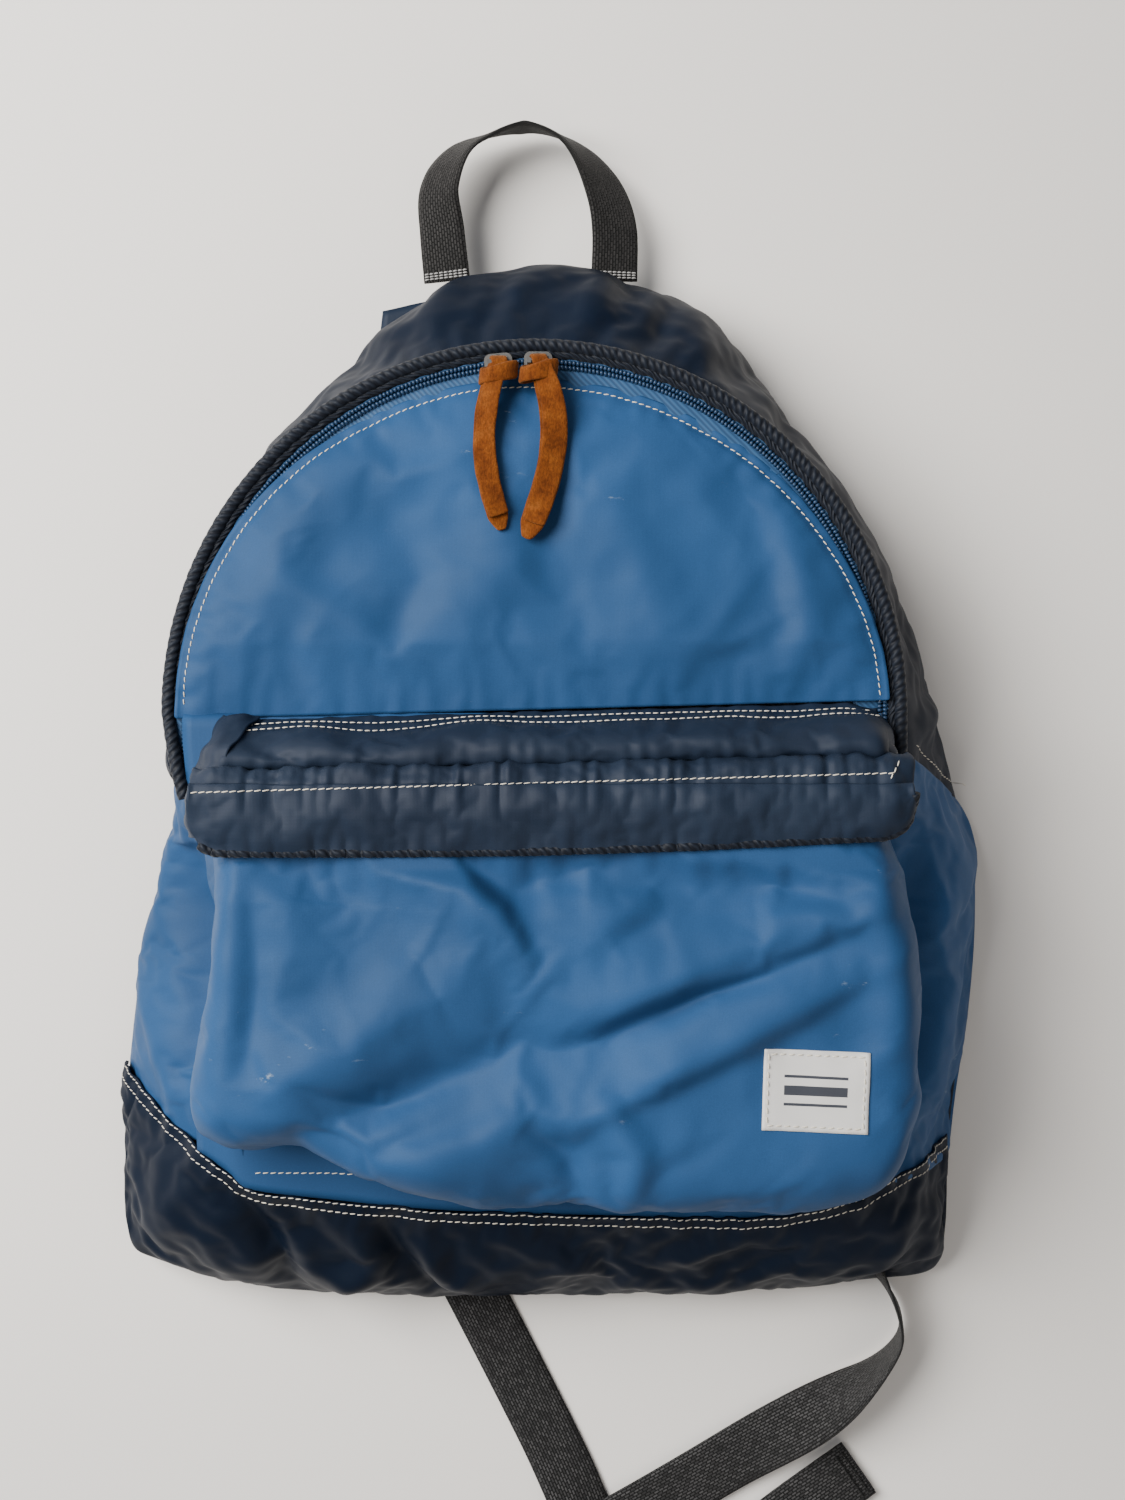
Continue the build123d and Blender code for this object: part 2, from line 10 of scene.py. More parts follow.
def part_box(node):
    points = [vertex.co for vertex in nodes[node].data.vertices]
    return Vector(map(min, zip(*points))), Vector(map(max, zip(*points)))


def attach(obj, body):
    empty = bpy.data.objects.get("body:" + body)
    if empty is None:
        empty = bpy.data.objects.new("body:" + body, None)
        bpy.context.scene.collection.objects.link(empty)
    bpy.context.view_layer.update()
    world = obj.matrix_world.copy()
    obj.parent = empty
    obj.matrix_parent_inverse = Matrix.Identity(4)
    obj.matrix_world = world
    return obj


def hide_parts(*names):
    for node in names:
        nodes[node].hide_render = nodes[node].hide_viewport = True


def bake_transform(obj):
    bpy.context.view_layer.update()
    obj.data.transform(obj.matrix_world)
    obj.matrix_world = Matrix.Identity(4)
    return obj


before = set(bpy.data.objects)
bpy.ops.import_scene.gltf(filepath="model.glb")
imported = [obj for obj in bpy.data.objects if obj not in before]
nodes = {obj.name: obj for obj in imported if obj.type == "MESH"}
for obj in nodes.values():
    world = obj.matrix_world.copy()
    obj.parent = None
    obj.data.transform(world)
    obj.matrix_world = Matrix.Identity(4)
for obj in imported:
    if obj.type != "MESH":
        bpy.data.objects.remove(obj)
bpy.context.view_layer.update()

MM = 0.001
scene = bpy.context.scene

# Shared sizes of the frame, in millimetres
PIPING_LOW, PIPING_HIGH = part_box("dome_piping")
PIPING_OUT = PIPING_HIGH.x / MM
PIPING_Z = (PIPING_LOW.z + PIPING_HIGH.z) / 2 / MM
PIPING_R = PIPING_OUT - 2.6
ZIP_END_Y = PIPING_LOW.y / MM
FRONT_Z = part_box("front_panel")[1].z / MM
LID_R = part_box("dome_panel")[1].x / MM
COIL_R = (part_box("dome_zip_coil")[1].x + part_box("gusset_zip_coil")[1].x) / 2 / MM - 0.95
BACK_LOW_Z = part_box("back_panel")[0].z / MM
POCKET_TOP_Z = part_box("pocket_front")[1].z / MM
FLAP_HINGE_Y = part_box("pocket_flap")[1].y / MM
FLAP_LOW, FLAP_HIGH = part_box("pocket_flap")

# ---- camera, light and floor --------------------------------------------------------------------------
CAMERA_HEIGHT = 740
VIEW_TALL = 651                       # what the picture's long side spans on the surface


def build_camera():
    data = bpy.data.cameras.new("camera")
    data.sensor_width = 36
    data.lens = 36 * CAMERA_HEIGHT / VIEW_TALL
    camera = bpy.data.objects.new("camera", data)
    scene.collection.objects.link(camera)
    camera.location = (11 * MM, -15 * MM, CAMERA_HEIGHT * MM)
    scene.camera = camera


def build_stage():
    size = 3
    mesh = bpy.data.meshes.new("floor")
    corners = [(-size, -size, 0), (size, -size, 0), (size, size, 0), (-size, size, 0)]
    mesh.from_pydata(corners, [], [(0, 1, 2, 3)])
    floor = bpy.data.objects.new("floor", mesh)
    scene.collection.objects.link(floor)
    material = bpy.data.materials.new("floor")
    material.use_nodes = True
    shader = material.node_tree.nodes["Principled BSDF"]
    shader.inputs["Base Color"].default_value = (0.93, 0.90, 0.86, 1)
    shader.inputs["Roughness"].default_value = 0.9
    floor.data.materials.append(material)

    def area(name, place, aim, size_m, power, colour):
        data = bpy.data.lights.new(name, "AREA")
        data.size = size_m
        data.energy = power
        data.color = colour
        lamp = bpy.data.objects.new(name, data)
        scene.collection.objects.link(lamp)
        lamp.location = place
        lamp.rotation_euler = (Vector(aim) - Vector(place)).to_track_quat("-Z", "Y").to_euler()

    area("window", (-0.82, 0.34, 0.98), (0.0, -0.04, 0.05), 0.9, 39, (1.0, 0.98, 0.95))
    area("room", (0.55, -1.15, 1.1), (0, -0.1, 0), 1.2, 4.5, (1.0, 0.88, 0.74))
    world = bpy.data.worlds.new("world")
    world.use_nodes = True
    world.node_tree.nodes["Background"].inputs["Color"].default_value = (0.93, 0.95, 1.0, 1)
    world.node_tree.nodes["Background"].inputs["Strength"].default_value = 0.27
    scene.world = world


# ---- materials ----------------------------------------------------------------------------------------
class Nodes:
    """A short way to write a material's nodes."""

    def __init__(self, name, roughness, metallic=0.0, specular=0.5, sheen=0.0, coat=0.0):
        self.material = bpy.data.materials.new(name)
        self.material.use_nodes = True
        self.tree = self.material.node_tree
        self.shader = self.tree.nodes["Principled BSDF"]
        self.shader.inputs["Roughness"].default_value = roughness
        self.shader.inputs["Metallic"].default_value = metallic
        self.shader.inputs["Specular IOR Level"].default_value = specular
        self.shader.inputs["Sheen Weight"].default_value = sheen
        self.shader.inputs["Coat Weight"].default_value = coat
        self.coords = self.tree.nodes.new("ShaderNodeTexCoord")

    def link(self, source, target):
        self.tree.links.new(source, target)

    def noise(self, scale, detail=3.0, rough=0.5, space="Object", stretch=None, turn=None, distortion=0.0):
        node = self.tree.nodes.new("ShaderNodeTexNoise")
        node.inputs["Scale"].default_value = scale
        node.inputs["Detail"].default_value = detail
        node.inputs["Roughness"].default_value = rough
        node.inputs["Distortion"].default_value = distortion
        self.link(self.mapped(space, stretch, turn), node.inputs["Vector"])
        return node.outputs["Fac"]

    def mapped(self, space="Object", stretch=None, turn=None):
        if stretch is None and turn is None:
            return self.coords.outputs[space]
        node = self.tree.nodes.new("ShaderNodeMapping")
        node.inputs["Scale"].default_value = stretch or (1, 1, 1)
        node.inputs["Rotation"].default_value = turn or (0, 0, 0)
        self.link(self.coords.outputs[space], node.inputs["Vector"])
        return node.outputs["Vector"]

    def wave(self, scale, direction="X", space="Object", distortion=0.0, profile="SIN", stretch=None, turn=None):
        node = self.tree.nodes.new("ShaderNodeTexWave")
        node.bands_direction = direction
        node.wave_profile = profile
        node.inputs["Scale"].default_value = scale
        node.inputs["Distortion"].default_value = distortion
        self.link(self.mapped(space, stretch, turn), node.inputs["Vector"])
        return node.outputs["Fac"]

    def bricks(self, scale, wide, tall, mortar=0.02, space="UV"):
        node = self.tree.nodes.new("ShaderNodeTexBrick")
        node.inputs["Scale"].default_value = scale
        node.inputs["Brick Width"].default_value = wide
        node.inputs["Row Height"].default_value = tall
        node.inputs["Mortar Size"].default_value = mortar
        node.inputs["Mortar Smooth"].default_value = 1.0
        node.inputs["Color1"].default_value = (1, 1, 1, 1)
        node.inputs["Color2"].default_value = (0.6, 0.6, 0.6, 1)
        node.inputs["Mortar"].default_value = (0, 0, 0, 1)
        self.link(self.mapped(space), node.inputs["Vector"])
        return node.outputs["Color"]

    def ramp(self, source, stops):
        node = self.tree.nodes.new("ShaderNodeValToRGB")
        ramp = node.color_ramp
        while len(ramp.elements) < len(stops):
            ramp.elements.new(0.5)
        for element, (place, colour) in zip(ramp.elements, stops):
            element.position = place
            element.color = (*colour, 1) if len(colour) == 3 else colour
        self.link(source, node.inputs["Fac"])
        return node.outputs["Color"]

    def mix(self, factor, a, b, kind="MIX"):
        node = self.tree.nodes.new("ShaderNodeMix")
        node.data_type = "RGBA"
        node.blend_type = kind
        for source, socket in ((factor, node.inputs["Factor"]), (a, node.inputs["A"]), (b, node.inputs["B"])):
            if isinstance(source, (int, float)):
                socket.default_value = source
            elif isinstance(source, tuple):
                socket.default_value = (*source, 1)
            else:
                self.link(source, socket)
        # colour sockets share their names with the float ones, so they are taken by place
        for source, place in ((a, 6), (b, 7)):
            if isinstance(source, tuple):
                node.inputs[place].default_value = (*source, 1)
            else:
                self.link(source, node.inputs[place])
        return node.outputs[2]

    def colour(self, source):
        self.link(source, self.shader.inputs["Base Color"])

    def roughness(self, source, low, high):
        node = self.tree.nodes.new("ShaderNodeMapRange")
        node.inputs["To Min"].default_value = low
        node.inputs["To Max"].default_value = high
        self.link(source, node.inputs["Value"])
        self.link(node.outputs["Result"], self.shader.inputs["Roughness"])

    def bump(self, source, height_mm, strength=1.0):
        node = self.tree.nodes.new("ShaderNodeBump")
        node.inputs["Distance"].default_value = height_mm * MM
        node.inputs["Strength"].default_value = strength
        self.link(source, node.inputs["Height"])
        previous = self.shader.inputs["Normal"].links
        if previous:
            self.link(previous[0].from_socket, node.inputs["Normal"])
        self.link(node.outputs["Normal"], self.shader.inputs["Normal"])


def nylon(name, deep, mid, pale, scuffs=0.0, roughness=0.5, sheen=0.1, specular=0.4):
    """Coated pack nylon: soft sheen, slow colour change, fine weave and a little rubbing."""
    m = Nodes(name, roughness, sheen=sheen, specular=specular)
    m.shader.inputs["Sheen Roughness"].default_value = 0.45
    slow = m.noise(9, 3, 0.55, distortion=0.6)
    tone = m.ramp(slow, [(0.30, deep), (0.55, mid), (0.78, pale)])
    speckle = m.noise(2600, 2, 0.6)
    tone = m.mix(0.10, tone, m.ramp(speckle, [(0.35, (0, 0, 0)), (0.7, (0.75, 0.8, 0.85))]), "OVERLAY")
    if scuffs:
        rub = m.noise(55, 6, 0.7, stretch=(1.0, 2.6, 1.0), turn=(0, 0, 0.5))
        where = m.noise(14, 2, 0.5)
        mask = m.mix(1.0, m.ramp(rub, [(0.66, (0, 0, 0)), (0.74, (1, 1, 1))]),
                     m.ramp(where, [(0.52, (0, 0, 0)), (0.66, (scuffs, scuffs, scuffs))]), "MULTIPLY")
        tone = m.mix(mask, tone, (0.35, 0.42, 0.50))
    m.colour(tone)
    m.roughness(m.noise(30, 4, 0.6), roughness - 0.07, roughness + 0.08)
    m.bump(m.noise(150, 3, 0.6), 0.12, 0.4)
    m.bump(m.wave(620, "X", profile="SIN"), 0.03, 0.35)
    m.bump(m.wave(620, "Y", profile="SIN"), 0.03, 0.35)
    return m.material


def binding_cloth(name, deep, pale):
    """Twill binding rolled over a cord: slanted ribs, with painted shade in the grooves and a painted highlight on each
    rib's crest.
    """
    m = Nodes(name, 0.58, sheen=0.06, specular=0.22)
    ribs = m.wave(2.1, "DIAGONAL", space="UV", distortion=1.6)
    # the ribs' colour is painted light and shade: dark in the grooves, pale on the crests
    m.colour(m.ramp(ribs, [(0.25, deep), (0.8, pale)]))
    m.bump(ribs, 0.45, 0.8)
    m.bump(m.noise(700, 3, 0.6), 0.12, 0.5)
    return m.material


def webbing_cloth(name, deep, pale):
    """Woven webbing, read along and across the strap from its UV map in centimetres."""
    m = Nodes(name, 0.66, sheen=0.06, specular=0.25)
    weave = m.bricks(1.0, 0.24, 0.12, 0.034)
    fleck = m.noise(900, 2, 0.7)
    tone = m.ramp(weave, [(0.05, tuple(c * 0.15 for c in deep)), (0.55, deep), (1.0, pale)])
    tone = m.mix(0.15, tone, m.ramp(fleck, [(0.35, (0.1, 0.1, 0.1)), (0.72, (0.85, 0.84, 0.82))]), "OVERLAY")
    m.colour(tone)
    m.bump(weave, 0.5, 1.0)
    m.bump(fleck, 0.1, 0.5)
    return m.material


def suede(name):
    m = Nodes(name, 0.9, sheen=0.18, specular=0.12)
    m.shader.inputs["Sheen Roughness"].default_value = 0.5
    m.shader.inputs["Sheen Tint"].default_value = (1.0, 0.62, 0.30, 1)
    slow = m.noise(120, 4, 0.65)
    nap = m.noise(900, 4, 0.7, stretch=(1.6, 0.8, 1))
    tone = m.ramp(slow, [(0.30, (0.085, 0.019, 0.0025)), (0.52, (0.160, 0.043, 0.006)), (0.75, (0.240, 0.076, 0.013))])
    tone = m.mix(0.55, tone, m.ramp(nap, [(0.35, (0.18, 0.15, 0.12)), (0.7, (0.78, 0.74, 0.68))]), "OVERLAY")
    m.colour(tone)
    m.bump(nap, 0.5, 0.8)
    m.bump(slow, 0.8, 0.5)
    return m.material


def plain(name, colour, roughness, metallic=0.0, spread=0.12, grain=400, height=0.05, **kind):
    """A moulded, cast or foamed surface with a slight change of tone and a fine grain."""
    m = Nodes(name, roughness, metallic=metallic, **kind)
    low = tuple(c * (1 - spread) for c in colour)
    high = tuple(min(c * (1 + spread), 1) for c in colour)
    m.colour(m.ramp(m.noise(60, 4, 0.6), [(0.3, low), (0.7, high)]))
    m.roughness(m.noise(180, 3, 0.6), roughness - 0.06, roughness + 0.08)
    m.bump(m.noise(grain, 3, 0.6), height, 0.6)
    return m.material


def tape_cloth(name, deep, pale):
    m = Nodes(name, 0.6, sheen=0.2, specular=0.3)
    rib = m.wave(260, "DIAGONAL", distortion=0.6)
    m.colour(m.ramp(rib, [(0.2, deep), (0.85, pale)]))
    m.bump(rib, 0.12, 0.7)
    return m.material


def spacer_mesh(name, deep, pale):
    m = Nodes(name, 0.8, sheen=0.3, specular=0.2)
    node = m.tree.nodes.new("ShaderNodeTexVoronoi")
    node.inputs["Scale"].default_value = 420
    node.inputs["Randomness"].default_value = 0.25
    m.link(m.coords.outputs["Object"], node.inputs["Vector"])
    m.colour(m.ramp(node.outputs["Distance"], [(0.15, pale), (0.5, deep)]))
    m.bump(node.outputs["Distance"], 0.5, 0.8)
    return m.material


def label_satin(name):
    """White woven satin with three plain woven bars."""
    m = Nodes(name, 0.42, sheen=0.3, specular=0.5)
    weave = m.wave(900, "Y", distortion=0.3)
    tone = m.ramp(weave, [(0.1, (0.60, 0.59, 0.57)), (0.9, (0.83, 0.82, 0.80))])
    bars = m.wave(0.30, "Y", space="UV", profile="SIN")
    split = m.tree.nodes.new("ShaderNodeSeparateXYZ")
    m.link(m.coords.outputs["UV"], split.inputs["Vector"])

    def inside(source, low, high):
        above = m.tree.nodes.new("ShaderNodeMath")
        above.operation = "GREATER_THAN"
        above.inputs[1].default_value = low
        m.link(source, above.inputs[0])
        below = m.tree.nodes.new("ShaderNodeMath")
        below.operation = "LESS_THAN"
        below.inputs[1].default_value = high
        m.link(source, below.inputs[0])
        both = m.tree.nodes.new("ShaderNodeMath")
        both.operation = "MULTIPLY"
        m.link(above.outputs[0], both.inputs[0])
        m.link(below.outputs[0], both.inputs[1])
        return both.outputs[0]

    across = inside(split.outputs["X"], 0.20, 0.80)
    m.tree.nodes.remove(bars.node)
    for low, high in ((0.31, 0.345), (0.44, 0.56), (0.655, 0.69)):
        band = m.tree.nodes.new("ShaderNodeMath")
        band.operation = "MULTIPLY"
        m.link(across, band.inputs[0])
        m.link(inside(split.outputs["Y"], low, high), band.inputs[1])
        tone = m.mix(band.outputs[0], tone, (0.035, 0.040, 0.055))
    m.colour(tone)
    m.bump(weave, 0.06, 0.5)
    return m.material


BLUE = nylon("blue_nylon", (0.0175, 0.060, 0.150), (0.0215, 0.074, 0.186), (0.026, 0.088, 0.220), roughness=0.52,
             scuffs=0.6, sheen=0.0, specular=0.12)
# navy cloth painted lighter, as if lit where it faces up (hood, flap); the same navy as the next one, not faded
NAVY_PAINTED_LIT = nylon("navy_nylon_painted_lit", (0.0085, 0.0155, 0.0320), (0.0120, 0.0215, 0.0420), (0.0165, 0.0290, 0.0540),
             roughness=0.60, sheen=0.0, specular=0.22)
# the same navy cloth painted darker, as painted shade on the slopes (gusset, base)
NAVY_PAINTED_SHADED = nylon("navy_nylon", (0.0030, 0.0064, 0.0150), (0.0040, 0.0086, 0.0200), (0.0054, 0.0112, 0.0260),
                  roughness=0.50, sheen=0.0, specular=0.10)
BINDING = binding_cloth("dark_binding", (0.0030, 0.0048, 0.0100), (0.0080, 0.0120, 0.0210))
WEBBING = webbing_cloth("charcoal_webbing", (0.013, 0.013, 0.0135), (0.062, 0.061, 0.062))
HANDLE_WEBBING = webbing_cloth("dark_webbing", (0.007, 0.0065, 0.006), (0.027, 0.025, 0.024))
SUEDE = suede("cognac_suede")
METAL = plain("worn_nickel", (0.13, 0.125, 0.12), 0.45, metallic=1.0, grain=900)
THREAD = plain("natural_thread", (0.78, 0.72, 0.60), 0.7, grain=3000, height=0.05, sheen=0.3)
BAR_TACK = plain("frayed_thread", (0.40, 0.39, 0.38), 0.8, grain=1500, height=0.15, sheen=0.4)
TAPE = tape_cloth("zip_tape_blue", (0.014, 0.055, 0.135), (0.028, 0.095, 0.210))
TAPE_NAVY = tape_cloth("zip_tape_navy", (0.008, 0.013, 0.026), (0.018, 0.028, 0.050))
COIL = plain("zip_coil_blue", (0.012, 0.040, 0.095), 0.38, grain=800)
FOAM = plain("foam_grey", (0.16, 0.16, 0.17), 0.9, grain=500, height=0.3)
MESH = spacer_mesh("back_mesh", (0.006, 0.009, 0.018), (0.022, 0.032, 0.055))
LOCK = plain("black_acetal", (0.012, 0.012, 0.013), 0.32, grain=700, height=0.03)
SATIN = label_satin("label_satin")


# ---- mesh helpers -------------------------------------------------------------------------------------
def add_object(name, points, faces, material, uvs=None):
    """A mesh object from points in millimetres."""
    mesh = bpy.data.meshes.new(name)
    mesh.from_pydata([tuple(p) for p in (np.asarray(points, float) * MM).tolist()], [], faces)
    mesh.polygons.foreach_set("use_smooth", [True] * len(mesh.polygons))
    if uvs is not None:
        layer = mesh.uv_layers.new(name="uv")
        loops = np.zeros(len(mesh.loops), np.int32)
        mesh.loops.foreach_get("vertex_index", loops)
        layer.data.foreach_set("uv", np.asarray(uvs, float)[loops].ravel())
    mesh.materials.append(material)
    mesh.update()
    piece = bpy.data.objects.new(name, mesh)
    scene.collection.objects.link(piece)
    return piece


def finish_piece(piece, body, replaced=()):
    """Rides the piece on its body and hides the parts that it stands in for."""
    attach(piece, body)
    if replaced:
        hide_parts(*replaced)
    return piece


def grid_faces(rows, columns, round_columns=False):
    faces = []
    last = columns if round_columns else columns - 1
    for i in range(rows - 1):
        for j in range(last):
            k = (j + 1) % columns
            faces.append((i * columns + j, i * columns + k, (i + 1) * columns + k, (i + 1) * columns + j))
    return faces


def smooth_line(points, count, closed=False):
    """A smooth line through given points, as count points spaced evenly along it."""
    p = np.asarray(points, float)
    if closed:
        p = np.vstack([p[-1], p, p[0], p[1]])
    else:
        p = np.vstack([2 * p[0] - p[1], p, 2 * p[-1] - p[-2]])
    fine = []
    steps = 24
    for i in range(1, len(p) - 2):
        a, b, c, d = p[i - 1], p[i], p[i + 1], p[i + 2]
        for t in np.linspace(0, 1, steps, endpoint=False):
            fine.append(0.5 * ((2 * b) + (c - a) * t + (2 * a - 5 * b + 4 * c - d) * t ** 2
                               + (3 * b - a - 3 * c + d) * t ** 3))
    fine.append(p[-2])
    return evenly(np.array(fine), count)


def evenly(line, count):
    """count points spaced evenly along a line."""
    line = np.asarray(line, float)
    steps = np.r_[0, np.cumsum(np.linalg.norm(np.diff(line, axis=0), axis=1))]
    wanted = np.linspace(0, steps[-1], count)
    return np.stack([np.interp(wanted, steps, line[:, k]) for k in range(line.shape[1])], axis=1)


def line_length(line):
    return float(np.linalg.norm(np.diff(np.asarray(line), axis=0), axis=1).sum())


def wobble(points, size, scale_mm, seed, octaves=3):
    """Smooth noise at each point, about -size to size."""
    offset = Vector((seed * 17.3, seed * 5.1, seed * 11.7))
    out = np.empty(len(points))
    for i, p in enumerate(points):
        at = Vector(p) / scale_mm + offset
        out[i] = noise.fractal(at, 1.0, 2.0, octaves)
    return out * size


def crumple(points, size, scale_mm, seed):
    """Creased cloth: narrow crests between smooth hollows, about -size to size."""
    offset = Vector((seed * 9.1, seed * 3.7, seed * 6.3))
    out = np.empty(len(points))
    for i, p in enumerate(points):
        at = Vector(p) / scale_mm + offset
        bend = noise.noise_vector(at * 0.6) * 0.7
        n = abs(noise.noise(at + bend))
        fine = abs(noise.noise((at + bend) * 2.3 + offset))
        out[i] = (0.45 - 2.2 * n) + 0.45 * (0.4 - 2.0 * fine)
    return np.clip(out, -1.2, 1) * size


def puckers(part, count, seed):
    """Uneven gathers along a seam, from -1 to 1; part runs from 0 to 1."""
    rng = np.random.default_rng(seed)
    knots = rng.uniform(-1, 1, 2 * count + 3)
    place = np.clip(part, 0, 1) * 2 * count
    i = np.floor(place).astype(int)
    f = place - i
    f = f * f * (3 - 2 * f)
    return knots[i] * (1 - f) + knots[i + 1] * f


def ridge(x, y, line, wide, high, skew=0.0):
    """A soft fold along a given line: how high it lifts each point. It dies away at both ends."""
    line = np.asarray(line, float)
    best = np.full(x.shape, 1e9)
    side = np.zeros(x.shape)
    along = np.zeros(x.shape)
    total = line_length(line)
    gone = 0.0
    for a, b in zip(line[:-1], line[1:]):
        d = b - a
        length = np.hypot(*d)
        t = np.clip(((x - a[0]) * d[0] + (y - a[1]) * d[1]) / length ** 2, 0, 1)
        px = x - (a[0] + t * d[0])
        py = y - (a[1] + t * d[1])
        distance = np.hypot(px, py)
        nearer = distance < best
        best = np.where(nearer, distance, best)
        side = np.where(nearer, (px * d[1] - py * d[0]) / length, side)
        along = np.where(nearer, (gone + t * length) / total, along)
        gone += length
    width = wide * (1 + skew * np.tanh(side / wide))
    fade = np.sin(np.pi * np.clip(along * 0.9 + 0.05, 0, 1)) ** 0.7
    return high * fade * np.exp(-(best / width) ** 2)


def normals_of(grid):
    """Unit normals of a grid of points."""
    du = np.gradient(grid, axis=0)
    dv = np.gradient(grid, axis=1)
    n = np.cross(du, dv)
    return n / np.maximum(np.linalg.norm(n, axis=2, keepdims=True), 1e-9)


def settle(piece, pinned, steps=16, slack=0.025, bend=0.5, pressure=0.0, cap=8.0, gravity=0.0, stiff=18):
    """Lets slack cloth find its own folds with its edges held, and keeps the result in the mesh."""
    mesh = piece.data
    before = np.zeros(len(mesh.vertices) * 3)
    mesh.vertices.foreach_get("co", before)
    group = piece.vertex_groups.new(name="held")
    group.add([int(i) for i in pinned], 1.0, "REPLACE")
    cloth = piece.modifiers.new("cloth", "CLOTH")
    s = cloth.settings
    s.quality = 5
    s.mass = 0.25
    s.tension_stiffness = stiff
    s.compression_stiffness = stiff
    s.shear_stiffness = stiff * 0.4
    s.bending_stiffness = bend
    s.air_damping = 3
    s.vertex_group_mass = "held"
    s.shrink_min = -slack
    s.effector_weights.gravity = gravity
    if pressure:
        s.use_pressure = True
        s.uniform_pressure_force = pressure
    cloth.point_cache.frame_start = 1
    cloth.point_cache.frame_end = steps
    for step in range(1, steps + 1):
        scene.frame_set(step)
    graph = bpy.context.evaluated_depsgraph_get()
    result = piece.evaluated_get(graph).to_mesh()
    after = np.zeros(len(result.vertices) * 3)
    result.vertices.foreach_get("co", after)
    piece.evaluated_get(graph).to_mesh_clear()
    piece.modifiers.remove(cloth)
    piece.vertex_groups.clear()
    move = (after - before).reshape(-1, 3)
    far = np.linalg.norm(move, axis=1, keepdims=True)
    limit = cap * MM
    move *= limit * np.tanh(far / limit) / np.maximum(far, 1e-9)
    mesh.vertices.foreach_set("co", (before.reshape(-1, 3) + move).ravel())
    mesh.update()
    scene.frame_set(1)


def thicken(piece, thick, subdivide=1):
    """Gives cloth its thickness, outwards side kept where it is."""
    if subdivide:
        sub = piece.modifiers.new("smooth", "SUBSURF")
        sub.levels = subdivide
        sub.render_levels = subdivide
    solid = piece.modifiers.new("thickness", "SOLIDIFY")
    solid.thickness = thick * MM
    solid.offset = -1
    return piece


def surface_tree(*pieces):
    """The pieces' visible surface, for laying stitches on."""
    graph = bpy.context.evaluated_depsgraph_get()
    points = []
    faces = []
    for piece in pieces:
        mesh = piece.evaluated_get(graph).to_mesh()
        base = len(points)
        points += [v.co.copy() for v in mesh.vertices]
        faces += [[base + i for i in f.vertices] for f in mesh.polygons]
        piece.evaluated_get(graph).to_mesh_clear()
    return BVHTree.FromPolygons(points, faces)


def drop_on(tree, x, y, fallback):
    """The height of the top surface under a point, in millimetres, and its normal."""
    hit, normal, _, _ = tree.ray_cast(Vector((x * MM, y * MM, 0.2)), Vector((0, 0, -1)))
    if hit is None:
        return fallback, Vector((0, 0, 1))
    return hit.z / MM, normal if normal.z > 0 else -normal


def capsule_parts(a, b, radius, sides=6):
    """Points and faces of one bowed stitch between two points."""
    a = np.asarray(a, float)
    b = np.asarray(b, float)
    along = b - a
    along = along / np.linalg.norm(along)
    up = np.array([0, 0, 1.0])
    if abs(along[2]) > 0.9:
        up = np.array([0, 1.0, 0])
    right = np.cross(along, up)
    right /= np.linalg.norm(right)
    up = np.cross(right, along)
    points = []
    for t, grow, lift in ((0, 0.35, -0.9), (0.12, 0.85, 0.0), (0.5, 1.0, 0.45), (0.88, 0.85, 0.0), (1, 0.35, -0.9)):
        centre = a + (b - a) * t + up * lift * radius
        for k in range(sides):
            angle = 2 * math.pi * k / sides
            points.append(centre + (right * math.cos(angle) + up * math.sin(angle)) * radius * grow)
    faces = grid_faces(5, sides, True)
    faces.append(tuple(range(sides - 1, -1, -1)))
    faces.append(tuple(range(4 * sides, 5 * sides)))
    return points, faces


def stitch_row(name, line, tree, body, long=2.2, gap=0.7, radius=0.24, fallback=0.0, lift=0.10, material=None,
               tilt=0.18):
    """A row of thread stitches along a line, laid on the cloth under it."""
    line = np.asarray(line, float)
    total = line_length(line)
    count = max(int(total / (long + gap)), 1)
    places = evenly(line, count * 8 + 1)
    points = []
    faces = []
    for i in range(count):
        a = places[i * 8]
        b = places[min(i * 8 + int(8 * long / (long + gap)) + 1, len(places) - 1)]
        ends = []
        for p, sign in ((a, -1), (b, 1)):
            if tree is None:
                ends.append(np.array([p[0], p[1], p[2]]))
                continue
            d = b[:2] - a[:2]
            side = np.array([-d[1], d[0]]) / max(np.hypot(*d), 1e-6) * tilt * sign
            z, _ = drop_on(tree, p[0] + side[0], p[1] + side[1], p[2] if len(p) > 2 else fallback)
            ends.append(np.array([p[0] + side[0], p[1] + side[1], z + lift]))
        new_points, new_faces = capsule_parts(ends[0], ends[1], radius)
        base = len(points)
        points += new_points
        faces += [tuple(base + k for k in f) for f in new_faces]
    piece = add_object(name, points, faces, material or THREAD)
    return finish_piece(piece, body)


def tube(name, line, radius_at, material, sides=14, up=(0, 0, 1), flat=1.0):
    """A tube along a line; radius_at gives its radius at a distance and an angle."""
    line = np.asarray(line, float)
    along = np.gradient(line, axis=0)
    along /= np.linalg.norm(along, axis=1, keepdims=True)
    up = np.asarray(up, float)
    right = np.cross(along, up)
    right /= np.linalg.norm(right, axis=1, keepdims=True)
    over = np.cross(right, along)
    distance = np.r_[0, np.cumsum(np.linalg.norm(np.diff(line, axis=0), axis=1))]
    points = []
    uvs = []
    for i, centre in enumerate(line):
        for k in range(sides):
            angle = 2 * math.pi * k / sides
            r = radius_at(distance[i], angle)
            points.append(centre + right[i] * math.cos(angle) * r + over[i] * math.sin(angle) * r * flat)
            uvs.append((distance[i] / 10, k / sides))
    faces = [f[::-1] for f in grid_faces(len(line), sides, True)]
    faces.append(tuple(range(sides)))
    faces.append(tuple(range(len(points) - 1, len(points) - sides - 1, -1)))
    return add_object(name, points, faces, material, uvs)


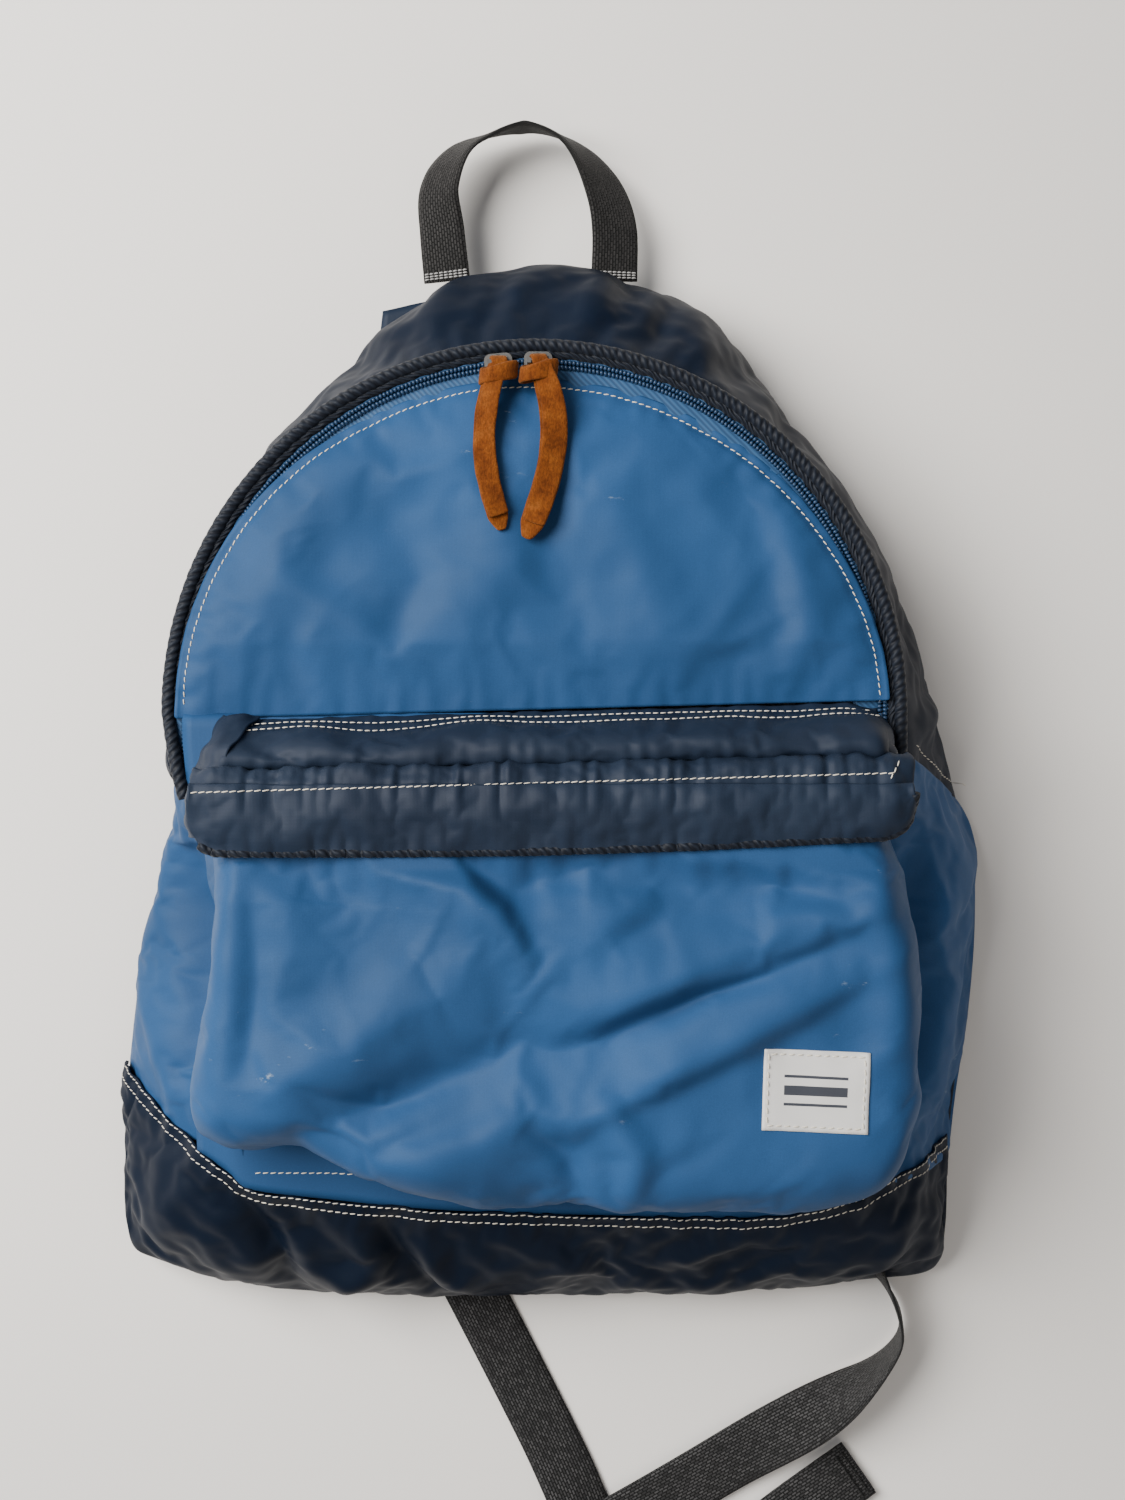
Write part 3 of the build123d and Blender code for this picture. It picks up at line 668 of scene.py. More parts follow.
def strap_mesh(name, line, widths, across, thick, material, edge=0.5, cut=None):
    """Flat webbing or leather along a line: across is its width direction at each point."""
    line = np.asarray(line, float)
    n = len(line)
    widths = np.broadcast_to(np.asarray(widths, float), (n,))
    thick = np.broadcast_to(np.asarray(thick, float), (n,))
    across = np.asarray(across, float)
    along = np.gradient(line, axis=0)
    along /= np.linalg.norm(along, axis=1, keepdims=True)
    across = across - along * np.sum(across * along, axis=1, keepdims=True)
    across /= np.linalg.norm(across, axis=1, keepdims=True)
    normal = np.cross(along, across)
    distance = np.r_[0, np.cumsum(np.linalg.norm(np.diff(line, axis=0), axis=1))]
    columns = 9
    ring = []
    for j in range(columns):
        s = -1 + 2 * j / (columns - 1)
        ring.append((s, 0.5 * (1 - edge * abs(s) ** 8)))
    loop = ring + [(s, -h) for s, h in reversed(ring)]
    points = []
    uvs = []
    for i in range(n):
        for s, h in loop:
            points.append(line[i] + across[i] * s * widths[i] / 2 + normal[i] * h * thick[i])
            uvs.append((distance[i] / 10, s * widths[i] / 20 + (3.0 if h < 0 else 0)))
    faces = grid_faces(n, len(loop), True)
    faces.append(tuple(range(len(loop) - 1, -1, -1)))
    faces.append(tuple(range(len(points) - len(loop), len(points))))
    return add_object(name, points, faces, material, uvs)


# ---- the loose webbing tails --------------------------------------------------------------------------
# The same route points as the CAD's, with the height that the webbing takes where it stands on its edge.
TAIL_LEFT = [(-70, -167.5, 1.4), (10, -318, 1.2), (36, -383, 11), (72, -372, 9), (139, -325, 1.6)]
TAIL_RIGHT = [(70, -167.5, 3.4), (158, -236, 10), (152, -290, 12), (-49, -395, 2.6)]
WEBBING_WIDE = 25
WEBBING_THICK = 1.6


def spline_points(name, route):
    """The points of the smooth line that the route makes."""
    curve = bpy.data.curves.new(name, "CURVE")
    curve.dimensions = "3D"
    spline = curve.splines.new("NURBS")
    spline.points.add(len(route) - 1)
    for point, place in zip(spline.points, route):
        point.co = (*[c * MM for c in place], 1)
    spline.use_endpoint_u = True
    spline.order_u = 3
    spline.resolution_u = 24
    holder = bpy.data.objects.new(name, curve)
    scene.collection.objects.link(holder)
    mesh = bpy.data.meshes.new_from_object(holder)
    places = np.array([v.co for v in mesh.vertices]) / MM
    bpy.data.objects.remove(holder)
    bpy.data.curves.remove(curve)
    bpy.data.meshes.remove(mesh)
    return places


def build_tail(side, route, tilt_at, tip):
    line = spline_points(f"route_{side}", route)
    line = evenly(line, 150)
    along = np.gradient(line, axis=0)
    along[:, 2] = 0
    along /= np.linalg.norm(along, axis=1, keepdims=True)
    flat = np.stack([-along[:, 1], along[:, 0], np.zeros(len(line))], axis=1)
    part = np.linspace(0, 1, len(line))
    tilt = np.radians(np.interp(part, [p for p, _ in tilt_at], [d for _, d in tilt_at]))
    tilt = np.convolve(np.pad(tilt, 6, mode="edge"), np.ones(13) / 13, mode="valid")
    across = flat * np.cos(tilt)[:, None] + np.array([0, 0, 1.0]) * np.sin(tilt)[:, None]
    # the lower edge stays on the surface, and over the other tail where they cross
    ground = np.interp(part, [0, 1], [route[0][2] - 0.9, route[-1][2] - 0.9])
    rise = np.abs(np.sin(tilt)) * WEBBING_WIDE / 2 + WEBBING_THICK / 2 + ground
    line[:, 2] = rise
    piece = strap_mesh(f"webbing_tail_{side}", line, WEBBING_WIDE, across, WEBBING_THICK, WEBBING)
    name = f"webbing_tail_{side}"
    piece.name = f"tail_webbing_{side}"
    finish_piece(piece, f"strap_{side}", (name,))
    if tip:
        end = line[-1]
        back = line[-12:]
        fold = back + np.array([0, 0, WEBBING_THICK + 0.25])
        fold_piece = strap_mesh(
            f"tail_fold_{side}", evenly(fold, 20), WEBBING_WIDE + 0.6, across[-20:], WEBBING_THICK, WEBBING)
        finish_piece(fold_piece, f"strap_{side}")
        rows = []
        for part_back in (2.2, 5.2):
            centre = end - along[-1] * part_back + np.array([0, 0, 2 * WEBBING_THICK + 0.3])
            rows.append((centre - flat[-1] * 11, centre + flat[-1] * 11))
        for k, (a, b) in enumerate(rows):
            row = stitch_row(f"tail_tack_{side}_{k}", [a, b], None, f"strap_{side}", material=WEBBING,
                             radius=0.45)
    return piece


def build_tails():
    build_tail("left", TAIL_LEFT, [(0, 0), (0.50, 0), (0.66, -62), (0.78, -50), (0.92, -6), (1, 0)], True)
    build_tail("right", TAIL_RIGHT, [(0, 0), (0.18, 8), (0.25, 66), (0.30, 99), (0.38, 99), (0.47, 46), (0.57, 4), (0.7, 0), (1, 0)], True)


# ---- the shell: gusset, sides, base ------------------------------------------------------------------
def outward(grid, centre=(10, -50, 25)):
    """Unit normals of a grid of points, turned away from the middle of the bag."""
    n = normals_of(grid)
    i, j = grid.shape[0] // 2, grid.shape[1] // 2
    return n if np.dot(n[i, j], grid[i, j] - np.asarray(centre)) > 0 else -n


def between(low, high, rows, bulge):
    """A band of cloth between two lines of the same length, bulged outwards."""
    low = np.asarray(low, float)
    high = np.asarray(high, float)
    n = len(low)
    grid = np.empty((n, rows, 3))
    for j in range(rows):
        s = j / (rows - 1)
        grid[:, j] = low * (1 - s) + high * s
    out = outward(grid)
    for j in range(rows):
        grid[:, j] += out[:, j] * bulge(j / (rows - 1))
    return grid


def pinned_edges(rows, columns, keep=(0, 1, 2, 3)):
    """Indices of a grid's border: 0 first row, 1 last row, 2 first column, 3 last column."""
    ids = set()
    if 0 in keep:
        ids.update(range(columns))
    if 1 in keep:
        ids.update((rows - 1) * columns + j for j in range(columns))
    if 2 in keep:
        ids.update(i * columns for i in range(rows))
    if 3 in keep:
        ids.update(i * columns + columns - 1 for i in range(rows))
    return sorted(ids)


def build_gusset():
    count = 200
    rows = 30
    back = [
        (-154, -33), (-150, 10), (-139, 55), (-122, 92), (-101, 122), (-80, 143), (-59, 163), (-25, 181), (4, 185),
        (40, 179), (66, 168), (90, 145), (110, 118), (131, 86), (151, 50), (166, 12), (179, -36),
    ]
    low = smooth_line([(x, y, BACK_LOW_Z + 1.5) for x, y in back], count)
    angles = np.linspace(math.pi + 0.16, -0.16, count)
    r = PIPING_R + 1.5
    high = np.stack([r * np.cos(angles), r * np.sin(angles), np.full(count, PIPING_Z - 2)], axis=1)

    show = np.interp(np.linspace(0, 1, count), [0, 0.16, 0.34, 0.44, 0.58, 0.70, 1],
                     [-0.1, 0.0, 0.25, 1.15, 1.2, 0.25, 0.15])[:, None]

    def belly(s):
        return 10.0 * math.sin(math.pi * s ** 0.66) * show

    grid = between(low, high, rows, belly)
    out = outward(grid)
    flat_points = grid.reshape(-1, 3)
    x = grid[:, :, 0]
    y = grid[:, :, 1]
    s = np.linspace(0, 1, rows)[None, :] * np.ones((count, 1))
    soft = (wobble(flat_points, 2.6, 26, 3) + crumple(flat_points, 1.2, 46, 61)).reshape(count, rows)
    fold = ridge(x, y, [(-30, 186), (-42, 150)], 7, 3.0) - ridge(x, y, [(-12, 186), (-20, 150)], 5, 2.2)
    fold += ridge(x, y, [(30, 182), (18, 150)], 7, 3.2) + ridge(x, y, [(78, 158), (60, 132)], 8, 3.0)
    fold -= ridge(x, y, [(58, 170), (44, 140)], 5, 3.0) + ridge(x, y, [(104, 128), (96, 100)], 6, 2.6)
    fold += ridge(x, y, [(168, 4), (152, -6)], 7, 3.0) - ridge(x, y, [(172, -18), (152, -12)], 5, 2.4)
    pucker = puckers(np.linspace(0, 1, count), 60, 1)[:, None] * 0.9 * np.exp(-((1 - s) / 0.16) ** 2)
    grid += out * ((soft + fold) * np.sin(np.pi * s) ** 0.6 + pucker)[:, :, None]
    piece = add_object("gusset_cloth", grid.reshape(-1, 3), grid_faces(count, rows), NAVY_PAINTED_SHADED)
    settle(piece, pinned_edges(count, rows), steps=12, slack=0.018, bend=1.0, cap=4)
    thicken(piece, 0.9)
    return finish_piece(piece, "bag", ("top_gusset",))


def build_side(side):
    """Blue cloth between the back seam and the pocket's foot, from the gusset down to the base."""
    count = 90
    rows = 34
    if side == "left":
        back = [(-151, -35), (-157, -60), (-163, -85), (-168, -107), (-172, -140), (-174, -165)]
        front = [(-141, -25, 69), (-128, -45, 74), (-120, -80, 75), (-119, -120, 75), (-117, -150, 74), (-114, -176, 68)]
        folds = [
            ([(-143, -52), (-139, -96), (-136, -146)], 7, -17),
            ([(-152, -62), (-160, -100), (-164, -140)], 7, 4.0),
            ([(-140, -30), (-150, -62)], 6, 3.2),
            ([(-158, -112), (-146, -160)], 5, 3.0),
        ]
        belly_size = 3
    else:
        back = [(179, -36), (186, -52), (187, -90), (184, -128), (179, -160), (176, -186)]
        front = [(147, -17, 72), (136, -45, 77), (131, -80, 78), (131, -120, 78), (131, -160, 74), (133, -188, 68)]
        folds = [
            ([(150, -52), (151, -100), (146, -150)], 6, -12),
            ([(150, -40), (158, -75), (152, -110)], 6, 4.5),
            ([(180, -58), (160, -90)], 7, 3.6),
            ([(170, -70), (166, -120), (160, -165)], 8, 3.6),
            ([(156, -108), (150, -150)], 5, -3.5),
        ]
        belly_size = 5
    low = smooth_line([(x, y, BACK_LOW_Z + 1.5) for x, y in back], count)
    high = smooth_line(front, count)

    # flush with the gusset where the two are sewn together
    show = np.interp(np.linspace(0, 1, count), [0, 0.16, 1], [0.25, 1, 1])[:, None]

    def belly(s):
        return belly_size * math.sin(math.pi * s) * show

    grid = between(low, high, rows, belly)
    out = outward(grid)
    x = grid[:, :, 0]
    y = grid[:, :, 1]
    s = np.linspace(0, 1, rows)[None, :] * np.ones((count, 1))
    lift = wobble(grid.reshape(-1, 3), 2.0, 30, 7 if side == "left" else 9).reshape(count, rows)
    lift += crumple(grid.reshape(-1, 3), 1.1, 52, 62).reshape(count, rows)
    for line, wide, high_mm in folds:
        lift = lift + ridge(x, y, line, wide, high_mm)
    grid += out * (lift * show * np.sin(np.pi * s) ** 0.5)[:, :, None]
    piece = add_object(f"side_cloth_{side}", grid.reshape(-1, 3), grid_faces(count, rows), BLUE)
    settle(piece, pinned_edges(count, rows), steps=14, slack=0.03, bend=0.5, cap=5)
    thicken(piece, 0.9)
    return finish_piece(piece, "bag", (f"side_panel_{side}",))


BASE_SEAM = [
    (-174, -147, 13), (-171, -149, 24), (-163, -156, 38), (-150, -165, 50), (-134, -174, 60), (-120, -182, 66),
    (-112, -188, 67), (-80, -192, 67), (-38, -196, 67), (20, -198, 67), (94, -199, 66), (126, -192, 65),
    (140, -186, 62), (158, -181, 48), (169, -178, 30), (173, -177, 13),
]


def build_base(blue):
    count = 190
    rows = 30
    back = [
        (-174, -150), (-175, -180), (-173.5, -221), (-160, -232), (-112, -243.5), (-60, -246), (-28, -246.5), (30, -246),
        (94, -243.5), (140, -240), (168, -236), (171.5, -222), (172.5, -200), (173, -182),
    ]
    high = smooth_line(BASE_SEAM, count)
    tree = surface_tree(*blue)
    for k, p in enumerate(high):
        if p[2] > 30:
            high[k, 2] = drop_on(tree, p[0], p[1], p[2])[0] + 0.7
    high[:, 2] = np.convolve(np.pad(high[:, 2], 4, mode="edge"), np.ones(9) / 9, mode="valid")
    low = smooth_line([(x, y, BACK_LOW_Z + 1.5) for x, y in back], count)

    show = np.interp(np.linspace(0, 1, count), [0, 0.08, 0.25, 0.8, 0.93, 1], [0.1, 0.4, 1, 1, 0.35, 0.0])[:, None]

    def belly(s):
        return 7.0 * math.sin(math.pi * s ** 0.85) ** 1.2 * show

    grid = between(low, high, rows, belly)
    out = outward(grid)
    x = grid[:, :, 0]
    y = grid[:, :, 1]
    s = np.linspace(0, 1, rows)[None, :] * np.ones((count, 1))
    lift = wobble(grid.reshape(-1, 3), 2.4, 24, 15).reshape(count, rows)
    lift += crumple(grid.reshape(-1, 3), 1.1, 44, 63).reshape(count, rows)
    folds = [
        ([(-118, -190), (-104, -218), (-100, -240)], 7, -9),
        ([(-88, -240), (-66, -222), (-70, -204)], 6, 5.5),
        ([(-64, -200), (-52, -222), (-40, -238)], 5, -4.5),
        ([(-44, -202), (-40, -222), (-22, -238)], 6, 4.5),
        ([(0, -236), (60, -226), (110, -218)], 9, -3.5),
        ([(-20, -204), (8, -216), (24, -228)], 6, 3.0),
        ([(96, -206), (60, -220), (40, -234)], 6, 3.5),
        ([(140, -196), (146, -214), (140, -232)], 6, 3.0),
        ([(160, -192), (156, -214)], 5, -3.0),
        ([(-160, -166), (-150, -196), (-152, -222)], 9, 3.0),
        ([(-136, -180), (-132, -210), (-128, -232)], 8, 3.0),
    ]
    for line, wide, high_mm in folds:
        lift = lift + ridge(x, y, line, wide, high_mm)
    gather = puckers(np.linspace(0, 1, count), 64, 2)[:, None]
    lift = lift * np.sin(np.pi * s) ** 0.5 + gather * 1.3 * np.exp(-((1 - s) / 0.14) ** 2)
    grid += out * lift[:, :, None]
    piece = add_object("base_cloth", grid.reshape(-1, 3), grid_faces(count, rows), NAVY_PAINTED_SHADED)
    settle(piece, pinned_edges(count, rows), steps=14, slack=0.03, bend=0.5, cap=5)
    thicken(piece, 0.9)
    return finish_piece(piece, "bag", ("base_panel",))


def build_front_panel():
    """The blue wall between the main compartment and the front pocket, down to the base seam."""
    columns = 70
    rows = 60
    bottom = smooth_line([(x, y, z) for x, y, z in BASE_SEAM if -150 < x < 150], columns)
    grid = np.empty((columns, rows, 3))
    for j in range(rows):
        s = j / (rows - 1)
        top = np.stack([np.linspace(-137, 137, columns), np.full(columns, -0.5), np.full(columns, FRONT_Z - 0.8)], 1)
        edge = bottom.copy()
        edge[:, 2] = bottom[:, 2] + 0.4
        grid[:, j] = top * (1 - s) + edge * s
        grid[:, j, 2] += 2.0 * math.sin(math.pi * s)
        narrow = np.interp(grid[:, j, 1], [-150, -60, -45, -30, -12, 0], [0.84, 0.86, 0.95, 0.99, 1, 1])
        calm = np.interp(s, [0.72, 0.92], [1, 0])
        grid[:, j, 0] *= 1 - (1 - narrow) * calm
        # the left end runs up over the foot of the zip
        x, y = grid[:, j, 0], grid[:, j, 1]
        grid[:, j, 2] += 4.6 * np.clip((-110 - x) / 8, 0, 1) * np.clip(-y / 2, 0, 1) * np.clip((46 + y) / 12, 0, 1)
    piece = add_object("front_wall_cloth", grid.reshape(-1, 3), [f[::-1] for f in grid_faces(columns, rows)], BLUE)
    thicken(piece, 1.0, 0)
    return finish_piece(piece, "bag", ("front_panel",))


# ---- dome lid, zip and piping -------------------------------------------------------------------------
def arc_line(radius, z, low_y=0.0, count=400):
    """Round the dome at one radius, with straight ends down to low_y."""
    points = []
    if low_y < 0:
        points += [(-radius, low_y * (1 - t), z) for t in np.linspace(0, 1, 12, endpoint=False)]
    start = math.asin(min(max(low_y, 0) / radius, 1))
    for angle in np.linspace(math.pi - start, start, count):
        points.append((radius * math.cos(angle), radius * math.sin(angle), z))
    if low_y < 0:
        points += [(radius, low_y * t, z) for t in np.linspace(0, 1, 12)[1:]]
    return np.array(points)


def lid_reach(angle):
    """How far the lid's folded edge reaches from the middle, by angle from the right."""
    return np.interp(angle, np.radians([0, 10, 30, 60, 90, 120, 150, 170, 180]),
                     [138.6, 138.0, 134.6, 131.0, 130.2, 132.2, 137.6, 140.0, 140.4])


def build_dome():
    """The lid's cloth: a half disc with soft folds, gathered into the seam along its foot."""
    columns = 110
    rows = 64
    low_y = 0.8
    grid = np.empty((columns, rows, 3))
    for i in range(columns):
        u = i / (columns - 1) * 2 - 1
        for j in range(rows):
            v = j / (rows - 1)
            # square to half disc, with even cells
            x = u
            y = v
            k = 0.5
            px = x * math.sqrt(max(1 - k * y * y, 0))
            py = y * math.sqrt(max(1 - k * x * x, 0))
            reach = lid_reach(math.atan2(py, px))
            grid[i, j] = (px * reach, low_y + py * (reach - low_y), FRONT_Z)
    x = grid[:, :, 0]
    y = grid[:, :, 1]
    around = np.arctan2(y, x)
    over = lid_reach(around) - LID_R
    r = np.hypot(x, y) - over
    edge = np.clip((LID_R - r) / 30, 0, 1)
    grid[:, :, 2] += np.clip(over - 2, 0, 4) * 0.75 * np.clip(1 - edge, 0, 1)
    foot = np.clip((y - low_y) / 26, 0, 1)
    crown = 6.5 * np.sin(np.pi / 2 * edge) ** 0.8
    lift = wobble(grid.reshape(-1, 3), 1.4, 46, 21).reshape(columns, rows)
    lift += crumple(grid.reshape(-1, 3), 0.9, 46, 64).reshape(columns, rows)
    folds = [
        ([(-70, 105), (-96, 62), (-104, 20)], 11, 2.6),
        ([(60, 118), (84, 84), (96, 44)], 11, -2.8),
        ([(-28, 96), (-10, 60), (-36, 22)], 14, 2.2),
        ([(22, 92), (40, 54), (66, 22)], 12, 2.4),
        ([(-60, 84), (-44, 52), (-62, 18)], 8, -2.4),
        ([(10, 100), (4, 66), (18, 30)], 9, -2.0),
        ([(92, 76), (106, 42), (104, 12)], 8, 2.4),
        ([(-100, 50), (-70, 34), (-40, 12)], 8, 2.2),
        ([(-110, 30), (-84, 14)], 6, -1.8),
    ]
    for line, wide, high_mm in folds:
        lift = lift + ridge(x, y, line, wide, high_mm)
    across = np.linspace(0, 1, columns)[:, None]
    gather = puckers(across, 34, 3) * np.exp(-((y - low_y) / (6 + 4 * puckers(across, 20, 4))) ** 2)
    ruck = puckers(around / math.pi, 52, 5) * np.exp(-((LID_R - 3.5 - r) / 6.0) ** 2)
    seam = -1.0 * np.exp(-((LID_R - 3.2 - r) / 1.6) ** 2)
    grid[:, :, 2] += crown * (0.15 + 0.85 * foot) + lift * edge ** 0.7 * (0.2 + 0.8 * foot) + gather * 0.6 * edge ** 0.3
    grid[:, :, 1] += 3.5 * x / 134 * np.clip(1 - (y - low_y) / 30, 0, 1)
    grid[:, :, 2] += ruck * 0.6 + seam
    piece = add_object("dome_cloth", grid.reshape(-1, 3), [f[::-1] for f in grid_faces(columns, rows)], BLUE)
    settle(piece, pinned_edges(columns, rows), steps=12, slack=0.005, bend=1.4, cap=2.5)
    thicken(piece, 1.0)
    return finish_piece(piece, "dome_lid", ("dome_panel",))


def build_piping():
    line = arc_line(PIPING_R, PIPING_Z, ZIP_END_Y)
    # the left end turns in towards the pocket and runs on to the flap
    line[:, 0] += np.where(line[:, 0] < 0, 7.0 * np.clip(-line[:, 1] / 33, 0, 1) ** 1.2, 0)
    line = np.vstack([[(-PIPING_R + 7.2, -34, PIPING_Z - 1)], line])
    line[:, 2] += np.where(line[:, 0] < 0, 4 * np.clip((-line[:, 1] - 3) / 20, 0, 1), 0)
    line = evenly(line, 900)
    rng = random.Random(5)
    pitch = 4.6
    count = int(line_length(line) / pitch) + 3
    strength = [rng.uniform(0.5, 1.0) for _ in range(count)]

    def radius_at(distance, angle):
        phase = distance / pitch + 0.32 * math.sin(angle) + 0.15 * math.cos(angle)
        k = int(phase)
        dent = abs(math.sin(math.pi * phase)) ** 0.5
        return 2.55 + 0.55 * (dent - 0.6) * strength[k % count]

    piece = tube("piping_cord", line, radius_at, BINDING, sides=16)
    finish_piece(piece, "bag", ("dome_piping",))
    # the binding's flat edge, stitched down beside the cord
    angles = np.linspace(math.pi, -0.14, 420)
    columns = []
    for inner, z in ((PIPING_R - 5.0, 0.2), (PIPING_R - 3.4, 0.9), (PIPING_R - 1.6, 0.8)):
        ripple = 0.35 * np.sin(angles * 96 + 2 * np.sin(angles * 11))
        columns.append(np.stack([(inner + ripple) * np.cos(angles), (inner + ripple) * np.sin(angles),
                                 np.full(len(angles), PIPING_Z + z - 0.6) + ripple * 0.6], axis=1))
    grid = np.stack(columns, axis=1)
    edge = add_object("piping_edge", grid.reshape(-1, 3), grid_faces(len(angles), 3), BINDING,
                      [(i * 1.1 / 10, j / 3) for i in range(len(angles)) for j in range(3)])
    thicken(edge, 0.5, 0)
    return finish_piece(edge, "bag")


def build_coils():
    """Both halves of the dome's zip: short nylon loops across the line where they mesh."""
    def half(name, radius, wide, lean, body, low_y, replaced):
        points = []
        faces = []
        pitch = 1.55
        arc = evenly(arc_line(radius, 0, low_y), int(line_length(arc_line(radius, 0, low_y)) / pitch))
        for i, p in enumerate(arc):
            away = np.array([p[0], max(p[1], 0), 0])
            away /= np.linalg.norm(away)
            tangent = np.array([-away[1], away[0], 0])
            a = p + away * wide / 2 + tangent * lean
            b = p - away * wide / 2 - tangent * lean
            z = FRONT_Z + 0.6
            new_points, new_faces = capsule_parts((a[0], a[1], z), (b[0], b[1], z), 0.72, 6)
            base = len(points)
            points += new_points
            faces += [tuple(base + k for k in f) for f in new_faces]
        piece = add_object(name, points, faces, COIL)
        finish_piece(piece, body, replaced)

    half("dome_coil_loops", COIL_R - 1.0, 2.0, 0.22, "dome_lid", 0.6, ("dome_zip_coil",))
    half("gusset_coil_loops", COIL_R + 1.05, 2.0, -0.22, "bag", ZIP_END_Y + 1, ("gusset_zip_coil",))

    def tape(name, inner, outer, low_y, body, replaced):
        """A ring of zip tape, its outer edge caught in the seam."""
        count, columns = 420, 7
        sides = [arc_line(r, FRONT_Z - 0.9, low_y, count) for r in np.linspace(inner, outer, columns)]
        grid = np.stack([evenly(line, count) for line in sides], axis=1)
        ripple = np.sin(np.linspace(0, 130, count)) * 0.12
        for j in range(columns):
            t = j / (columns - 1)
            grid[:, j, 2] += ripple * math.sin(math.pi * t) + 0.5 * math.sin(math.pi * t)
        piece = add_object(name, grid.reshape(-1, 3), grid_faces(count, columns), TAPE)
        thicken(piece, 0.5, 0)
        finish_piece(piece, body, replaced)

    lid_low, lid_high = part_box("dome_zip_tape")
    wall_low, wall_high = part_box("gusset_zip_tape")
    tape("dome_tape_cloth", LID_R - 6, lid_high.x / MM - 0.2, 0.8, "dome_lid", ("dome_zip_tape",))
    tape("gusset_tape_cloth", COIL_R + 0.6, wall_high.x / MM - 0.2, ZIP_END_Y, "bag", ("gusset_zip_tape",))
    for side, sign in (("left", -1), ("right", 1)):
        end_low, end_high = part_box(f"zip_end_{side}")
        x = (end_low.x + end_high.x) / 2 / MM
        wide = (end_high.x - end_low.x) / MM
        line = evenly([(x, end_high.y / MM, FRONT_Z + 0.2), (x, end_low.y / MM, FRONT_Z)], 24)
        line[:, 2] += 0.25 * np.sin(np.linspace(0, 9, 24))
        end = strap_mesh(f"zip_end_cloth_{side}", line, wide, np.tile([1.0, 0, 0], (24, 1)), 1.6, TAPE)
        finish_piece(end, "bag", (f"zip_end_{side}",))


def build_dome_stitches(dome):
    tree = surface_tree(dome)
    line = [((lid_reach(a) - 3.4) * math.cos(a), (lid_reach(a) - 3.4) * math.sin(a), FRONT_Z)
            for a in np.linspace(math.pi - 0.02, 0.02, 400)]
    stitch_row("dome_topstitch", line, tree, "dome_lid", long=2.1, gap=0.75)


# ---- sliders and their suede pulls --------------------------------------------------------------------
def build_pull(side, tip_shift, bow, length, wide):
    """A suede thong looped through the slider's link and hanging over the lid."""
    link_low, link_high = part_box(f"pull_link_{side}")
    x = (link_low.x + link_high.x) / 2 / MM
    top = link_low.y / MM + 9.5
    z_link = (link_low.z + link_high.z) / 2 / MM
    z_rest = FRONT_Z + 9.0
    z_link += 1.5
    n = 60
    part = np.linspace(0, 1, n)
    line = np.stack([
        x + tip_shift * part + bow * np.sin(np.pi * part ** 0.9),
        top - 3 - (length - 3) * part,
        z_link + 1.2 + (z_rest - z_link) * np.clip(part * 3, 0, 1) ** 0.8 + 0.7 * np.sin(part * 9),
    ], axis=1)
    across = np.tile([1.0, 0, 0.10], (n, 1))
    across[:, 2] += 0.25 * np.sin(part * 5 + (0 if side == "left" else 2))
    width = wide * (0.86 + 0.20 * np.sin(np.pi * part * 0.9)) * np.clip((1.02 - part) / 0.10, 0.12, 1) ** 0.6
    rng = random.Random(11 if side == "left" else 12)
    rough = np.array([rng.uniform(-1, 1) for _ in range(n)])
    rough = np.convolve(np.pad(rough, 2, mode="edge"), np.ones(5) / 5, mode="valid")
    width = width + rough * 0.5
    body = f"pull_{side}"
    lower = strap_mesh(f"thong_under_{side}", line, width, across, 1.5, SUEDE, edge=0.3)
    finish_piece(lower, body, (f"pull_thong_{side}",))
    upper_line = line[: int(n * 0.93)] + np.array([0.5, 0, 1.55])
    upper_line[:, 0] += 0.4 * np.sin(part[: len(upper_line)] * 7)
    upper = strap_mesh(f"thong_over_{side}", upper_line, width[: len(upper_line)] * 0.96, across[: len(upper_line)],
                       1.5, SUEDE, edge=0.3)
    finish_piece(upper, body)
    # the knot: a band wrapped across the thong, and the bight that goes through the link
    m = 40
    angles = np.linspace(0, 2 * math.pi, m + 1)
    centre = np.array([x + 0.3, top - 6.0, z_link + 0.8])
    wrap = np.stack([
        centre[0] + 6.8 * np.cos(angles), centre[1] + 1.6 * np.cos(angles + 0.4), centre[2] + 3.6 * np.sin(angles),
    ], axis=1)
    wrap_across = np.tile([0.12, 1.0, 0.0], (m + 1, 1))
    knot = strap_mesh(f"thong_knot_{side}", wrap, 6.6 + 0.6 * np.sin(angles * 2), wrap_across, 1.7, SUEDE, edge=0.4)
    finish_piece(knot, body)
    turn = np.linspace(-1.9, 1.9, 26)
    bight = np.stack([
        x + 0.6 * turn, top - 3.0 + 3.2 * np.cos(turn * 0.85), z_link + 2.6 * np.sin(turn * 0.9),
    ], axis=1)
    loop = strap_mesh(f"thong_bight_{side}", bight, 6.2, np.tile([1.0, 0, 0], (26, 1)), 1.5, SUEDE, edge=0.4)
    finish_piece(loop, body)
    for piece in (lower, upper, knot, loop):
        sub = piece.modifiers.new("smooth", "SUBSURF")
        sub.levels = 1
        sub.render_levels = 1


def build_hardware():
    for side in ("left", "right"):
        for name in (f"main_slider_{side}", f"pull_link_{side}"):
            nodes[name].data.materials.clear()
            nodes[name].data.materials.append(METAL)
    for name in ("pocket_slider", "pocket_pull"):
        nodes[name].data.materials.clear()
        nodes[name].data.materials.append(METAL)
    build_pull("left", 1.8, -6.2, 67, 8.6)
    build_pull("right", -4.6, 8.0, 71, 10.0)


